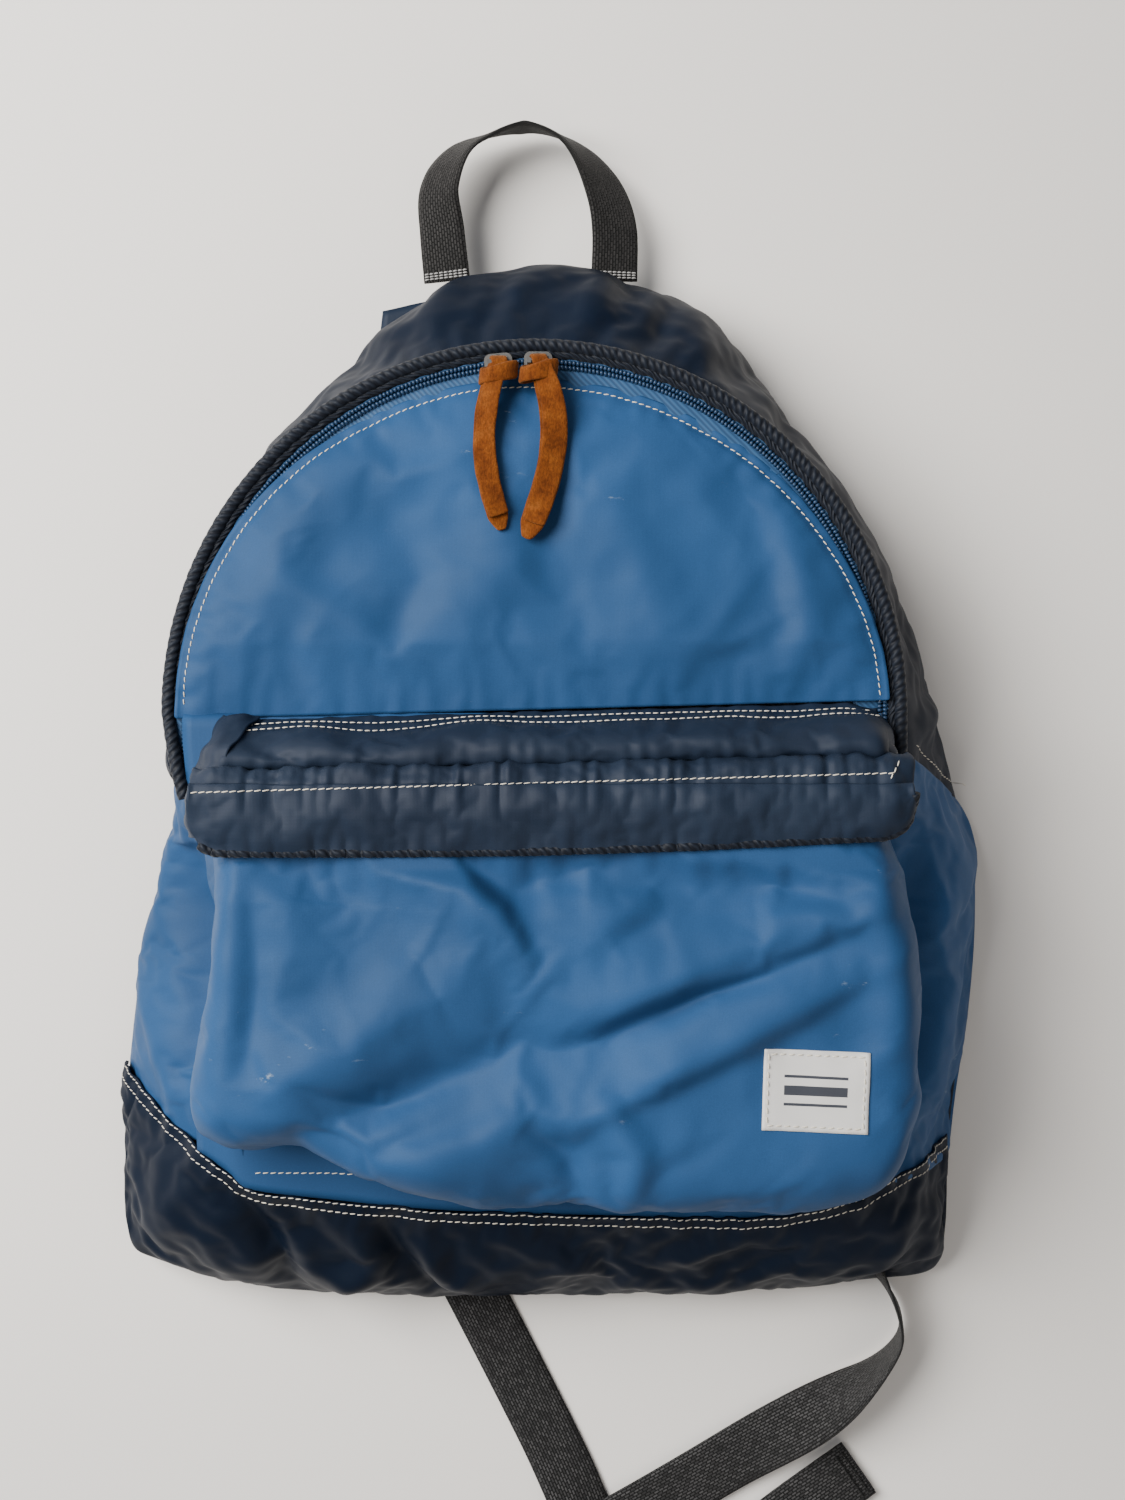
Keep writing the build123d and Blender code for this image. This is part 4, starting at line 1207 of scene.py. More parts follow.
# ---- front pocket -------------------------------------------------------------------------------------
def build_pocket():
    """The blue bellows pocket: a puffed front that sags over its foot on three sides."""
    columns = 130
    rows = 92
    edge = 0.78                       # where the flat front turns down, as a share of the grid
    face_x = 118.0
    top_y = -45.0
    face_bottom = -166.0
    foot_z = FRONT_Z + 1.2
    height = POCKET_TOP_Z + 3.5 - foot_z
    grid = np.empty((columns, rows, 3))
    for i in range(columns):
        u = i / (columns - 1) * 2 - 1
        for j in range(rows):
            v = j / (rows - 1)
            uu = abs(u) * math.sqrt(1 - 0.15 * v ** 4)
            vv = v * math.sqrt(1 - 0.10 * u ** 4)
            tx = max((uu - edge) / (1 - edge), 0)
            ty = max((vv - edge) / (1 - edge), 0)
            whole = (tx ** 3 + ty ** 3) ** (1 / 3)
            shrink = 1 / max(whole, 1)
            out_x = 16.0 * math.sin(math.pi * 0.62 * tx * shrink)
            out_y = 19.0 * math.sin(math.pi * 0.66 * ty * shrink)
            px = math.copysign(min(uu / edge, 1) * face_x * (1 - 0.03 * ty) + out_x, u)
            py = top_y + min(vv / edge, 1) * (face_bottom - top_y) * (1 - 0.03 * tx) - out_y
            z = foot_z + height * math.cos(math.pi / 2 * min(whole, 1)) ** 0.85
            z -= 5.0 * max(0.2 - v, 0) / 0.2
            grid[i, j] = (px, py, z)
    # the soft edges as they hang: narrow under the flap, wide below, low at the foot's middle
    down = np.linspace(0, 1, rows)[None, :] * np.ones((columns, 1))
    across = np.linspace(0, 1, columns)[:, None] * np.ones((1, rows))
    left = np.interp(down, [0, 0.15, 0.5, 0.85, 1], [-122, -121, -125, -130, -129])
    right = np.interp(down, [0, 0.12, 0.45, 0.75, 0.9, 1], [134, 140, 147, 147, 142, 138])
    x = grid[:, :, 0]
    grid[:, :, 0] = np.where(x < 0, x / -134.0 * left, x / 134.0 * right)
    x = grid[:, :, 0]
    bottom = np.interp(x, [-128, -110, -88, -66, -44, -20, 30, 90, 110, 128, 142],
                       [-160, -166, -166, -174, -180, -185, -187, -190, -187, -182, -172])
    grid[:, :, 1] = top_y + (grid[:, :, 1] - top_y) * (bottom - top_y) / (-184 - top_y)
    y = grid[:, :, 1]
    out = outward(grid, (10, -110, 60))
    lift = wobble(grid.reshape(-1, 3), 2.2, 46, 33).reshape(columns, rows)
    lift += crumple(grid.reshape(-1, 3), 1.1, 52, 65).reshape(columns, rows)
    folds = [
        ([(-62, -46), (-34, -60), (-14, -76), (-4, -90)], 7, 7.0, 0.3),
        ([(-104, -56), (-66, -70), (-38, -84)], 12, -5.5, 0.0),
        ([(-30, -58), (-6, -66), (20, -60)], 8, -6.5, 0.0),
        ([(22, -60), (64, -64), (112, -66)], 9, -7.5, 0.0),
        ([(54, -50), (92, -50), (122, -58)], 6, 4.5, 0.0),
        ([(126, -72), (82, -92), (44, -104), (8, -118)], 8, 7.5, 0.4),
        ([(30, -88), (50, -76), (80, -76)], 7, -4.0, 0.0),
        ([(132, -90), (92, -112), (46, -136), (10, -152)], 9, 5.5, 0.4),
        ([(108, -84), (64, -102), (24, -124)], 7, -6.0, 0.0),
        ([(-114, -150), (-74, -128), (-34, -108)], 14, 6.0, 0.0),
        ([(-98, -166), (-52, -144), (-8, -126), (28, -120)], 9, -6.0, 0.0),
        ([(-60, -172), (-12, -156), (28, -150)], 10, 5.5, 0.3),
        ([(-2, -150), (14, -164), (18, -182)], 6, -4.6, 0.0),
        ([(24, -144), (38, -164), (36, -182)], 7, 4.8, 0.0),
        ([(-106, -58), (-102, -100), (-106, -140)], 6, -3.4, 0.0),
        ([(122, -60), (132, -90), (134, -130)], 7, 3.6, 0.0),
        ([(-90, -150), (-60, -158), (-40, -152)], 4, 1.8, 0.0),
        ([(-86, -140), (-56, -148), (-34, -142)], 4, -1.8, 0.0),
    ]
    for line, wide, high_mm, skew in folds:
        lift = lift + ridge(x, y, line, wide, high_mm * 0.95, skew)
    calm = np.clip(down / 0.08, 0, 1) * np.clip((1 - down) / 0.10, 0, 1) * np.clip(across / 0.06, 0, 1) \
        * np.clip((1 - across) / 0.06, 0, 1)
    gather = puckers(across, 26, 6) * np.exp(-(down / 0.09) ** 2)
    foot = puckers(across, 34, 7) * np.exp(-((1 - down) / 0.06) ** 2)
    grid += out * (lift * calm ** 0.6 + gather * 1.4 + foot * 1.4)[:, :, None]
    piece = add_object("pocket_cloth", grid.reshape(-1, 3), [f[::-1] for f in grid_faces(columns, rows)], BLUE)
    settle(piece, pinned_edges(columns, rows), steps=14, slack=0.012, bend=1.0, cap=3.5)
    # the cloth stays under the flap
    for v in piece.data.vertices:
        over = np.interp(v.co.y / MM, [-74, -60, -40], [12, -2, -5])
        v.co.z = min(v.co.z, FLAP_HIGH.z + (over - 2.5) * MM)
    thicken(piece, 1.0)
    return finish_piece(piece, "bag", ("pocket_front",))


def roll_patch(name, line_of, columns, profile, lift, material):
    """A long band: line_of(u) gives its middle line's shift, profile its cross-section in y and z."""
    rows = len(profile)
    grid = np.empty((columns, rows, 3))
    for i in range(columns):
        u = i / (columns - 1) * 2 - 1
        for j, (y, z) in enumerate(profile):
            px, dy, dz = line_of(u, j / (rows - 1))
            grid[i, j] = (px, y + dy, z + dz)
    out = normals_of(grid)
    if out[columns // 2, rows // 2][2] < 0:
        out = -out
    grid += out * lift(grid)[:, :, None]
    faces = grid_faces(columns, rows)
    a, b, c = (grid.reshape(-1, 3)[faces[len(faces) // 2][k]] for k in range(3))
    if np.cross(b - a, c - b)[2] < 0:
        faces = [f[::-1] for f in faces]
    return add_object(name, grid.reshape(-1, 3), faces, material), grid


def build_hood():
    """The navy hood over the pocket's zip: a soft roll from the lid's foot up to the flap's seam."""
    columns = 150
    profile = smooth_line([(0.2, 73.5), (-2.0, 79.5), (-4.6, 87.5), (-7.6, 96), (-11, 102.5), (-15, 105.5),
                           (-18.8, 105.2), (-21, 102.5)], 30)
    profile = [(p[0], p[1]) for p in profile]

    def place(u, v):
        half = 127.5 + 7.5 * v
        x = half * u + 6.5
        end = max((abs(u) - 0.91) / 0.09, 0)
        dz = -30 * (1 - math.cos(math.pi / 2 * end)) * v ** 0.8
        return x, 3.5 * u - 3.0 * end * (1 - v), dz

    def lift(grid):
        x = grid[:, :, 0]
        y = grid[:, :, 1]
        n, m = x.shape
        base = wobble(grid.reshape(-1, 3), 2.6, 34, 41).reshape(n, m)
        v = np.linspace(0, 1, m)[None, :]
        for line, wide, high_mm in (
            ([(-96, -4), (-70, -18), (-30, -22)], 6, 2.6), ([(-40, -4), (-10, -14), (24, -20)], 6, 2.2),
            ([(20, -2), (60, -10), (100, -20)], 6, 2.4), ([(-110, -10), (-84, -22)], 4, -2.4),
            ([(84, -4), (112, -16)], 5, -2.2), ([(0, -20), (40, -16)], 4, -2.0),
        ):
            base = base + ridge(x, y, line, wide, high_mm)
        across = np.linspace(0, 1, n)[:, None]
        gather = puckers(across, 44, 8)
        base = base * np.sin(np.pi * v) ** 0.5 * np.clip(0.15 + 1.5 * (v - 0.25), 0.15, 1)
        return base + gather * (1.2 * np.exp(-((v - 1) / 0.2) ** 2) + 0.5 * np.exp(-(v / 0.12) ** 2))

    piece, _ = roll_patch("hood_cloth", place, columns, profile, lift, NAVY_PAINTED_LIT)
    rows = len(profile)
    settle(piece, pinned_edges(columns, rows), steps=10, slack=0.012, bend=0.8, cap=2.5)
    cloth = np.array([v.co for v in piece.data.vertices]).reshape(columns, rows, 3) / MM
    out = normals_of(cloth)
    out *= np.sign(out[columns // 2, 12, 1])
    even = np.ones(13) / 13
    for name, row, first, last in (("high", 6, 4, 147), ("low", 11, 4, 148)):
        line = cloth[:, row] + out[:, row] * 0.9
        for k in (1, 2):
            line[:, k] = np.convolve(np.pad(line[:, k], 6, mode="edge"), even, mode="valid")
        line = line[first:last]
        stitch_row(f"hood_stitch_{name}", line, None, "bag", long=2.1, gap=0.75)
    thicken(piece, 0.9)
    finish_piece(piece, "bag", ("pocket_hood",))

    # the gathered seam that the flap hangs from
    seam_profile = smooth_line([(-19.5, 103.0), (-19.4, 105.5), (-21.2, 108.6), (-24.2, 110.6), (-26.8, 111.4),
                                (-28.2, 111.2)], 12)
    seam_profile = [(p[0], p[1]) for p in seam_profile]

    def seam_lift(grid):
        n, m = grid.shape[:2]
        across = np.linspace(0, 1, n)[:, None]
        v = np.linspace(0, 1, m)[None, :]
        pucker = puckers(across, 50, 9) * 0.9 * np.ones((1, m))
        return pucker + wobble(grid.reshape(-1, 3), 2.0, 11, 44).reshape(n, m) * np.sin(np.pi * v)

    def seam_place(u, v):
        end = max((abs(u) - 0.94) / 0.06, 0)
        return 134 * u + 7, 3.5 * u * (1 - v), -5.0 * end ** 2

    seam, _ = roll_patch("flap_seam_cloth", seam_place, 260, seam_profile, seam_lift, NAVY_PAINTED_LIT)
    thicken(seam, 0.8)
    finish_piece(seam, "bag", ("flap_seam",))
    return piece, seam


def build_pocket_ends():
    """The navy cloth that closes each end of the pocket under its hood and flap."""
    for side, low_foot, high_foot in (("left", -133, -121), ("right", 143, 136)):
        columns, rows = 40, 26
        grid = np.empty((columns, rows, 3))
        sign = -1 if low_foot < 0 else 1
        for i in range(columns):
            y = -2 - (46 if side == "left" else 38) * i / (columns - 1)
            foot = np.interp(y, [-30, -2], [low_foot, high_foot])
            top = foot - sign * 14
            for j in range(rows):
                t = j / (rows - 1)
                turn = math.pi / 2 * t
                x = top + (foot - top) * math.cos(turn) ** 0.8
                z = FRONT_Z + 1 + 31.5 * math.sin(turn) ** 0.9
                shut = max(-14 - y, -12) / 12
                z -= max(-shut, 0) * 30 * t
                grid[i, j] = (x + sign * 0.5 * math.sin(y * 0.7), y, z)
        out = outward(grid, (0, -30, 60))
        grid += out * (wobble(grid.reshape(-1, 3), 1.6, 14, 71).reshape(columns, rows))[:, :, None]
        piece = add_object(f"pocket_end_{side}", grid.reshape(-1, 3), grid_faces(columns, rows), NAVY_PAINTED_LIT)
        thicken(piece, 0.9, 1)
        finish_piece(piece, "bag")


def build_flap():
    """The navy flap over the pocket's zip: puckered at its seam, with a corded edge."""
    columns = 190
    rows = 22
    left = -127.5
    right = 141.0
    grid = np.empty((columns, rows, 3))
    for i in range(columns):
        u = i / (columns - 1)
        x = left + (right - left) * u
        near = min(x - left, right - x)
        round_off = 12 * (1 - math.sqrt(max(1 - (max(12 - near, 0) / 12) ** 2, 0)))
        bottom = np.interp(x, [left, -60, 0, 60, right], [-53.0, -53.0, -52.4, -50.5, -46.5])
        foot = bottom + round_off * 0.9
        top = FLAP_HINGE_Y - 0.1
        for j in range(rows):
            v = j / (rows - 1)
            z = FLAP_HIGH.z / MM - 1.0 + 2.6 * math.sin(math.pi * v ** 0.8) - 2.4 * v
            z -= 1.6 * (max(12 - near, 0) / 12) ** 2
            grid[i, j] = (x, top + (foot - top) * v, z)
    n, m = columns, rows
    v = np.linspace(0, 1, m)[None, :]
    across = np.linspace(0, 1, n)[:, None]
    lift = wobble(grid.reshape(-1, 3), 2.0, 22, 51).reshape(n, m)
    lift = lift * np.sin(np.pi * v) ** 0.4 + puckers(across, 50, 9) * 0.9 * np.exp(-(v / 0.35) ** 2)
    lift = lift + puckers(across, 46, 10) * 0.8 * np.exp(-((1 - v) / 0.25) ** 2)
    grid[:, :, 2] += lift
    piece = add_object("flap_cloth", grid.reshape(-1, 3), [f[::-1] for f in grid_faces(n, m)], NAVY_PAINTED_LIT)
    settle(piece, pinned_edges(n, m), steps=8, slack=0.008, bend=0.8, cap=1.2)
    thicken(piece, 1.4)
    finish_piece(piece, "pocket_flap", ("pocket_flap",))

    edge = np.vstack([grid[3:, -1, :], grid[-1, 8:-1, :][::-1]])
    edge = evenly(edge, 620)
    pitch = 4.2
    rng = random.Random(8)
    strength = [rng.uniform(0.4, 1.0) for _ in range(200)]

    def radius_at(distance, angle):
        phase = distance / pitch + 0.35 * math.sin(angle)
        dent = abs(math.sin(math.pi * phase)) ** 0.5
        return 1.85 + 0.5 * (dent - 0.6) * strength[int(phase) % 200]

    cord = tube("flap_binding_cord", edge, radius_at, BINDING, sides=14)
    finish_piece(cord, "pocket_flap", ("flap_binding",))
    return piece, grid


def build_pocket_zip():
    for name in ("upper", "lower"):
        low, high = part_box(f"pocket_zip_tape_{name}")
        y = (low.y + high.y) / 2 / MM
        line = evenly([(low.x / MM, y, low.z / MM + 0.8), (high.x / MM, y, low.z / MM + 0.8)], 160)
        line[:, 2] += 0.2 * np.sin(np.linspace(0, 60, 160))
        tape = strap_mesh(f"pocket_tape_{name}", line, (high.y - low.y) / MM - 0.2, np.tile([0, 1.0, 0], (160, 1)), 0.6,
                          TAPE_NAVY)
        finish_piece(tape, "bag", (f"pocket_zip_tape_{name}",))
    low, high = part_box("pocket_zip_coil")
    points = []
    faces = []
    y = (low.y + high.y) / 2 / MM
    z = (low.z + high.z) / 2 / MM
    x = low.x / MM
    while x < high.x / MM:
        for sign in (-1, 1):
            new_points, new_faces = capsule_parts((x + 0.3 * sign, y, z), (x, y + sign * 1.7, z), 0.8, 6)
            base = len(points)
            points += new_points
            faces += [tuple(base + k for k in f) for f in new_faces]
        x += 1.6
    piece = add_object("pocket_coil_loops", points, faces, COIL)
    finish_piece(piece, "bag", ("pocket_zip_coil",))


def build_label(pocket):
    tree = surface_tree(pocket)
    low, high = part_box("label")
    centre = ((low.x + high.x) / 2 / MM + 5.5, (low.y + high.y) / 2 / MM - 1.0)
    turn = math.radians(-2.0)
    wide, tall = 39.0, 30.0
    columns, rows = 30, 24
    points = []
    uvs = []
    heights = []
    for i in range(columns):
        for j in range(rows):
            u = i / (columns - 1)
            v = j / (rows - 1)
            dx = (u - 0.5) * wide
            dy = (v - 0.5) * tall
            x = centre[0] + dx * math.cos(turn) - dy * math.sin(turn)
            y = centre[1] + dx * math.sin(turn) + dy * math.cos(turn)
            z, _ = drop_on(tree, x, y, POCKET_TOP_Z)
            heights.append(z)
            points.append([x, y, z])
            uvs.append((u, v))
    heights = np.array(heights).reshape(columns, rows)
    for _ in range(6):
        padded = np.pad(heights, 1, mode="edge")
        heights = np.maximum(heights, (padded[:-2, 1:-1] + padded[2:, 1:-1] + padded[1:-1, :-2] + padded[1:-1, 2:]) / 4)
    for k, p in enumerate(points):
        i, j = divmod(k, rows)
        edge = min(i, columns - 1 - i, j, rows - 1 - j)
        p[2] = heights[i, j] + 0.5 + (0.12 if edge > 2 else 0) + 0.15 * math.sin(i * 0.9) * (edge < 2)
    faces = [f[::-1] for f in grid_faces(columns, rows)]
    a, b, c = (np.array(points[faces[0][k]]) for k in range(3))
    if np.cross(b - a, c - b)[2] < 0:
        faces = [f[::-1] for f in faces]
    piece = add_object("label_cloth", points, faces, SATIN, uvs)
    thicken(piece, 0.5, 0)
    finish_piece(piece, "bag", ("label",))
    label_tree = surface_tree(piece)
    inset = 1.8
    corners = []
    for sx, sy in ((-1, -1), (1, -1), (1, 1), (-1, 1), (-1, -1)):
        dx = sx * (wide / 2 - inset)
        dy = sy * (tall / 2 - inset)
        corners.append((centre[0] + dx * math.cos(turn) - dy * math.sin(turn),
                        centre[1] + dx * math.sin(turn) + dy * math.cos(turn), POCKET_TOP_Z))
    for k in range(4):
        stitch_row(f"label_stitch_{k}", [corners[k], corners[k + 1]], label_tree, "bag", long=2.3, gap=0.8,
                   radius=0.28, fallback=POCKET_TOP_Z)


# ---- seams on the shell -------------------------------------------------------------------------------
def shifted(line, distance):
    """A line moved sideways in plan."""
    line = np.asarray(line, float)
    along = np.gradient(line, axis=0)
    along[:, 2] = 0
    along /= np.linalg.norm(along, axis=1, keepdims=True)
    side = np.stack([-along[:, 1], along[:, 0], np.zeros(len(line))], axis=1)
    return line + side * distance


def build_shell_stitches(base, gusset, sides, hood, seam, flap, front):
    seam_line = smooth_line(BASE_SEAM, 300)
    keep = seam_line[(seam_line[:, 2] > 16)]
    tree = surface_tree(base)
    blue_tree = surface_tree(front, *sides)
    stitch_row("base_stitch_low", shifted(keep, -4.9), tree, "bag", long=2.2, gap=0.75)
    stitch_row("base_stitch_high", shifted(keep, -0.9), tree, "bag", long=2.2, gap=0.75)
    # the flap's stitch line slants across its seam, so its left part is on the flap itself
    for name, body, cloth, from_x, to_x in (("flap_stitch_left", "pocket_flap", flap, -126, -20),
                                            ("flap_stitch_right", "bag", seam, -18, 134)):
        line = [(x, -27.2 + 3.6 * x / 130, 110) for x in np.linspace(from_x, to_x, 60)]
        stitch_row(name, line, surface_tree(cloth), body, fallback=110)
    end_line = [(138.5, -13, 85), (136, -19, 85), (131.5, -26, 90)]
    stitch_row("hood_end_stitch", smooth_line(end_line, 20), surface_tree(hood, seam), "bag", long=2.1, gap=0.75,
               fallback=85)
    gusset_tree = surface_tree(gusset, sides[1])
    line = smooth_line([(152, -13, 70), (162, -20, 60), (171, -26, 45), (179, -30, 30)], 40)
    stitch_row("side_stitch_right", line, gusset_tree, "bag", long=2.1, gap=0.75, fallback=50)
    line = smooth_line([(-110, -181.5, 70), (-92, -181.5, 70), (-72, -182, 70), (-50, -186, 70)], 40)
    stitch_row("foot_stitch", line, blue_tree, "bag", long=2.2, gap=0.75, fallback=70)


# ---- haul handle --------------------------------------------------------------------------------------
def build_handle():
    low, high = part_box("haul_handle")
    top = high.y / MM
    base_y = low.y / MM
    points = [
        (-38, base_y, 16), (-40, base_y + 20, 17), (-41, base_y + 38, 20), (-33, base_y + 53, 21),
        (-20, top - 1.5, 20), (-5, top + 2.6, 18), (9, top - 0.5, 17), (20, top - 9, 17), (29, top - 24, 17),
        (33, base_y + 22, 17), (33, base_y, 16),
    ]
    line = smooth_line(points, 150)
    part = np.linspace(0, 1, 150)
    lean = np.radians(np.interp(part, [0, 0.12, 0.26, 0.38, 0.50, 0.60, 0.76, 0.88, 1],
                                [4, 14, 36, 66, 84, 72, 34, 12, 4]))
    along = np.gradient(line, axis=0)
    along /= np.linalg.norm(along, axis=1, keepdims=True)
    flat = np.stack([along[:, 1], -along[:, 0], np.zeros(150)], axis=1)
    across = flat * np.cos(lean)[:, None] + np.array([0, 0, 1.0]) * np.sin(lean)[:, None]
    piece = strap_mesh("handle_webbing", line, 19.5, across, 2.0, HANDLE_WEBBING)
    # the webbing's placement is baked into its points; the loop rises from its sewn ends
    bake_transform(piece)
    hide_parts("haul_handle")
    # bar tacks, worn pale, across each end
    for name, at, step in (("left", 0, 1), ("right", -1, -1)):
        rows = []
        for k in range(3):
            i = at + step * (1 + k)
            centre = line[i] + np.array([0, 0, 1.25])
            rows.append((centre - across[i] * 9.2, centre + across[i] * 9.2))
        for k, (a, b) in enumerate(rows):
            stitch_row(f"handle_tack_{name}_{k}", [a, b], None, "bag", long=1.5, gap=0.35, radius=0.35,
                       material=BAR_TACK)
    return piece


# ---- back of the bag ----------------------------------------------------------------------------------
BACK_OUTLINE = [
    (4, 184.5), (-25, 180), (-58, 162), (-79, 142), (-100, 120), (-121, 91), (-137, 55), (-147, 14), (-153, -33),
    (-157, -62), (-166, -107), (-172.5, -150), (-173.5, -180), (-172.5, -218), (-160, -231), (-112, -242.5), (-60, -245),
    (-28, -245.5), (30, -245), (94, -242.5), (140, -239), (168, -234), (174, -220), (175.5, -180), (180, -140),
    (184, -90), (181, -52), (176, -34), (164, 12), (150, 50), (130, 86), (109, 117), (89, 143), (65, 166), (39, 178),
]


def pillow(name, outline, low_z, high_z, material, inset=0.0, puff=2.0, channels=None, rings=26):
    """A closed padded plate inside an outline, its edge rounded over."""
    edge = smooth_line(outline, 220, True)[:-1]
    centre = np.array([5.0, -60.0]) if len(outline) > 12 else edge.mean(axis=0)
    n = len(edge)
    points = []
    for side in (0, 1):
        for k in range(rings):
            t = k / (rings - 1)
            t = t if side == 0 else 1 - t
            reach = math.sin(math.pi / 2 * t) ** 0.8
            flat = edge[:, :2] - centre
            far = np.linalg.norm(flat, axis=1, keepdims=True)
            xy = centre + flat * (1 - inset / far) * reach
            fade = max(1 - reach, 0.0)
            round_off = math.sqrt(max(1 - max(reach - 0.93, 0) / 0.07, 0.0))
            middle = (low_z + high_z) / 2
            half = (high_z - low_z) / 2
            for x, y in xy:
                dip = channels(x, y) if channels else 0.0
                z = middle + (-1 if side == 0 else 1) * (half * round_off + puff * min(fade * 3, 1)) * (1 - dip)
                points.append((x, y, z))
    faces = grid_faces(2 * rings, n, True)
    piece = add_object(name, points, faces, material)
    return piece


def build_back():
    """The padded back, its straps, and what they hang from."""
    def channels(x, y):
        spine = math.exp(-(x / 9) ** 2)
        bars = max(math.exp(-((y - place) / 5) ** 2) for place in (60, -20, -100, -180))
        return 0.55 * max(spine, bars * min(abs(x) / 12, 1))

    back = pillow("back_cloth", BACK_OUTLINE, BACK_LOW_Z + 0.2, BACK_LOW_Z + 5.0, MESH, puff=0.0, channels=channels)
    finish_piece(back, "bag", ("back_panel",))
    foam = pillow("back_padding", BACK_OUTLINE, 16.2, 19.0, FOAM, inset=9, puff=0.0)
    finish_piece(foam, "bag", ("back_foam",))

    # the patch that both straps are sewn under
    columns, rows = 44, 18
    grid = np.empty((columns, rows, 3))
    top = smooth_line([(-66, 173, 0), (-40, 178, 0), (0, 178.6, 0), (40, 178, 0), (66, 173, 0)], columns)
    low = smooth_line([(-72, 122, 0), (0, 121.4, 0), (72, 122, 0)], columns)
    low_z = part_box("shoulder_yoke")[0].z / MM
    for j in range(rows):
        t = j / (rows - 1)
        grid[:, j] = top * (1 - t) + low * t
        grid[:, j, 2] = low_z + 0.15
    grid[:, :, 2] += wobble(grid.reshape(-1, 3), 0.15, 16, 61).reshape(columns, rows)
    yoke = add_object("yoke_cloth", grid.reshape(-1, 3), grid_faces(columns, rows), NAVY_PAINTED_LIT)
    solid = yoke.modifiers.new("thickness", "SOLIDIFY")
    solid.thickness = 0.8 * MM
    solid.offset = -1
    finish_piece(yoke, "bag", ("shoulder_yoke",))
    for side, sign in (("left", -1), ("right", 1)):
        build_strap(side, sign)


STRAP_MIDDLE = [(39, 127.6, 58), (46, 92, 60), (57, 50, 60), (67, 0, 58), (72, -50, 54), (72, -95, 46), (70, -125, 36)]


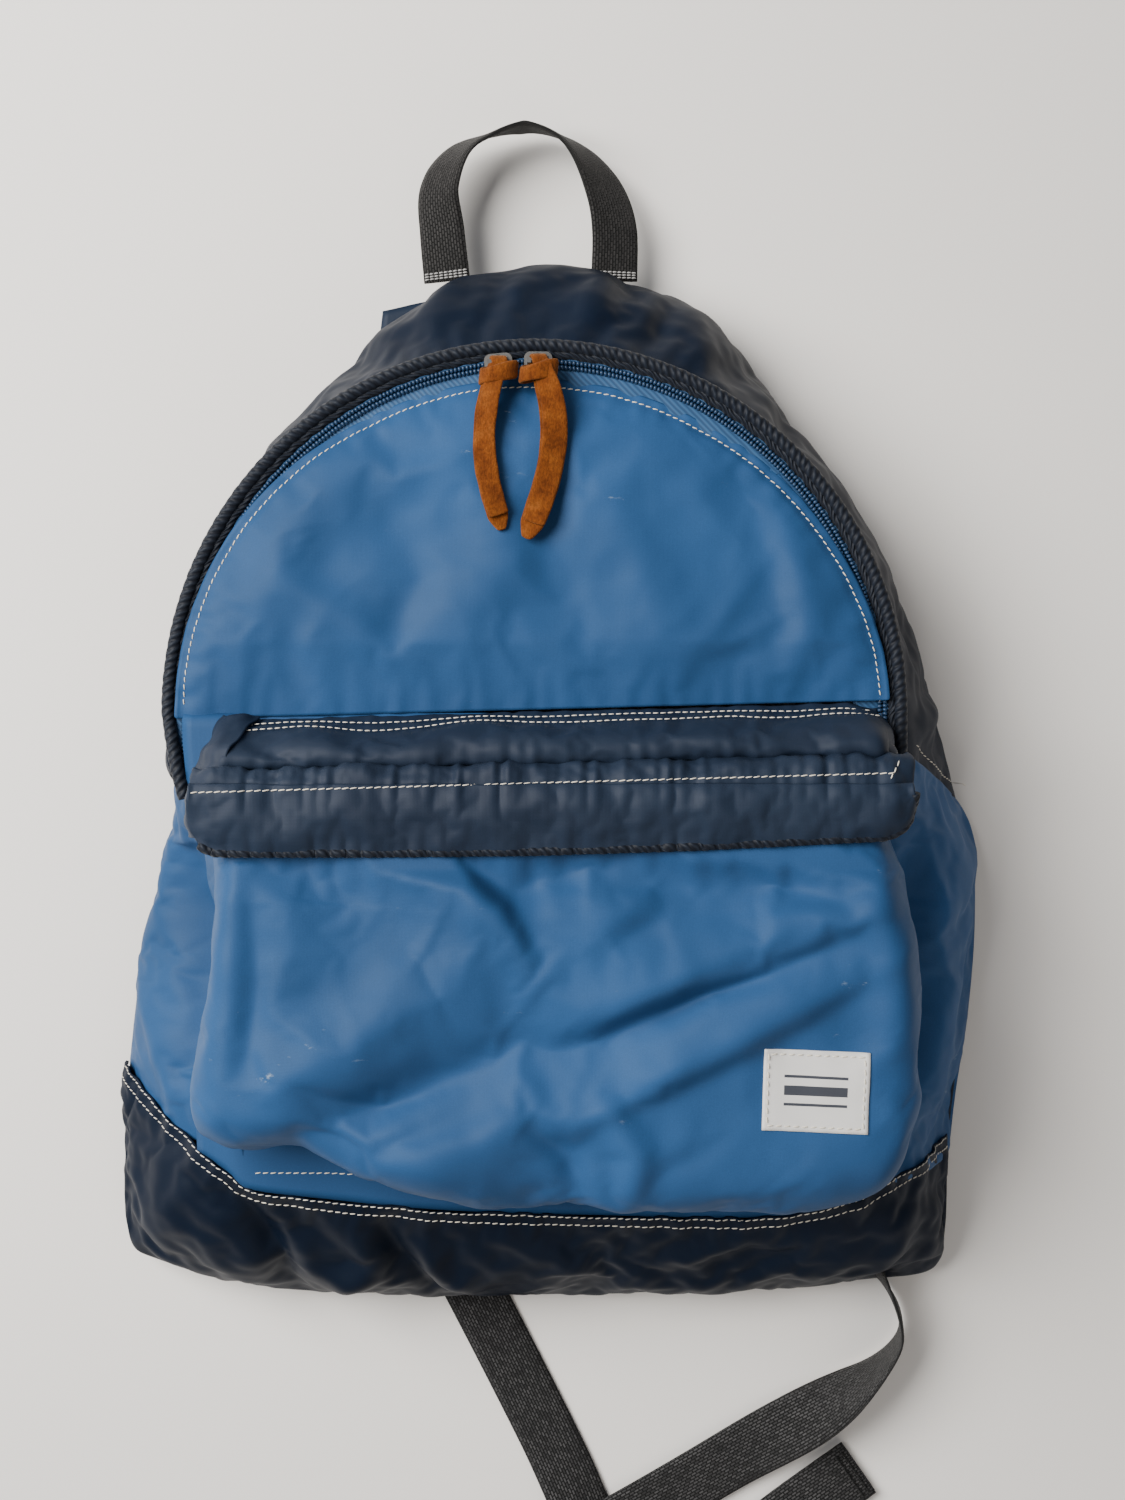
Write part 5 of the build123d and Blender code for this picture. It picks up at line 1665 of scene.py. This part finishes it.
def build_strap(side, sign):
    """One padded shoulder strap with its edge binding, buckle loop, and sewn-in lower webbing."""
    count, around = 90, 36
    middle = smooth_line([(x * sign, y, w) for x, y, w in STRAP_MIDDLE], count)
    low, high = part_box(f"shoulder_strap_{side}")
    mid_z = (low.z + high.z) / 2 / MM
    half = (high.z - low.z) / 2 / MM - 0.6
    points = []
    part = np.linspace(0, 1, count)
    for i, (x, y, wide) in enumerate(middle):
        close = min(part[i], 1 - part[i]) / 0.03
        thin = 0.45 + 0.55 * min(close, 1) ** 0.5
        for k in range(around):
            angle = 2 * math.pi * k / around
            c, sn = math.cos(angle), math.sin(angle)
            across = math.copysign(abs(c) ** 0.55, c)
            up = math.copysign(abs(sn) ** 0.75, sn)
            seam = 0.30 * math.exp(-((abs(across) - 0.86) / 0.05) ** 2)
            points.append((x + across * (wide / 2 - 0.8), y, mid_z + up * half * thin * (1 - seam)))
    faces = grid_faces(count, around, True)
    faces.append(tuple(range(around - 1, -1, -1)))
    faces.append(tuple(range((count - 1) * around, count * around)))
    if sign < 0:
        faces = [f[::-1] for f in faces]
    strap = add_object(f"strap_cloth_{side}", points, faces, NAVY_PAINTED_LIT)
    settle(strap, [i for i in range(around)] + [len(points) - 1 - i for i in range(around)], steps=8, slack=0.02,
           bend=0.3, pressure=0.6, cap=0.7)
    sub = strap.modifiers.new("smooth", "SUBSURF")
    sub.levels = 1
    sub.render_levels = 1
    body = f"strap_{side}"
    finish_piece(strap, body, (f"shoulder_strap_{side}",))
    for edge_name, edge_side in (("outer", 1), ("inner", -1)):
        edge = np.stack([middle[:, 0] + edge_side * (middle[:, 2] / 2 - 0.6), middle[:, 1], np.full(count, mid_z)], 1)
        binding = tube(f"strap_binding_{edge_name}_{side}", evenly(edge, 160), lambda d, a: 1.5 + 0.1 * math.sin(d), WEBBING,
                       sides=10)
        finish_piece(binding, body)
    # buckle loop, doubled webbing into the buckle's top bar
    loop_low, loop_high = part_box(f"lock_loop_{side}")
    x = (loop_low.x + loop_high.x) / 2 / MM
    z_low, z_high = loop_low.z / MM, loop_high.z / MM
    line = smooth_line([
        (x, loop_high.y / MM + 7, z_high - 0.6), (x, loop_high.y / MM, z_high - 0.7), (x, loop_low.y / MM + 4, z_high - 0.8),
        (x, loop_low.y / MM + 1.2, (z_low + z_high) / 2), (x, loop_low.y / MM + 4, z_low + 0.8),
        (x, loop_high.y / MM, z_low + 0.7), (x, loop_high.y / MM + 7, z_low + 0.6),
    ], 44)
    loop = strap_mesh(f"buckle_loop_{side}", line, WEBBING_WIDE, np.tile([1.0, 0, 0], (44, 1)), 1.3, WEBBING)
    finish_piece(loop, body, (f"lock_loop_{side}",))
    # lower webbing and the corner patch it's sewn under
    line = evenly([(92 * sign, -178, 8.2), (152 * sign, -205, 8.2)], 30)
    line[:, 2] += 0.15 * np.sin(np.linspace(0, 6, 30))
    anchor = strap_mesh(f"lower_webbing_{side}", line, WEBBING_WIDE, np.tile([0.41 * sign, 0.91, 0], (30, 1)),
                        WEBBING_THICK, WEBBING)
    finish_piece(anchor, "bag", (f"anchor_webbing_{side}",))
    tab = [(171, -178), (171.2, -202), (171, -226), (160, -223), (150, -220), (141, -212), (133, -205), (136, -195),
           (140, -186), (155, -182)]
    tab_low, tab_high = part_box(f"strap_anchor_{side}")
    patch = pillow(f"corner_patch_{side}", [(a * sign, b) for a, b in tab], tab_low.z / MM, tab_high.z / MM - 0.2, NAVY_PAINTED_LIT,
                   puff=0.0, rings=8)
    finish_piece(patch, "bag", (f"strap_anchor_{side}",))
    nodes[f"strap_foam_{side}"].data.materials.clear()
    nodes[f"strap_foam_{side}"].data.materials.append(FOAM)
    nodes[f"ladder_lock_{side}"].data.materials.clear()
    nodes[f"ladder_lock_{side}"].data.materials.append(LOCK)


build_camera()
build_tails()
build_stage()
gusset = build_gusset()
side_left = build_side("left")
side_right = build_side("right")
front = build_front_panel()
base = build_base((side_left, side_right, front))
dome = build_dome()
build_piping()
build_coils()
build_dome_stitches(dome)
build_hardware()
pocket = build_pocket()
hood, hood_seam = build_hood()
build_pocket_ends()
flap, flap_grid = build_flap()
build_pocket_zip()
build_label(pocket)
build_shell_stitches(base, gusset, (side_left, side_right), hood, hood_seam, flap, front)
build_handle()
build_back()
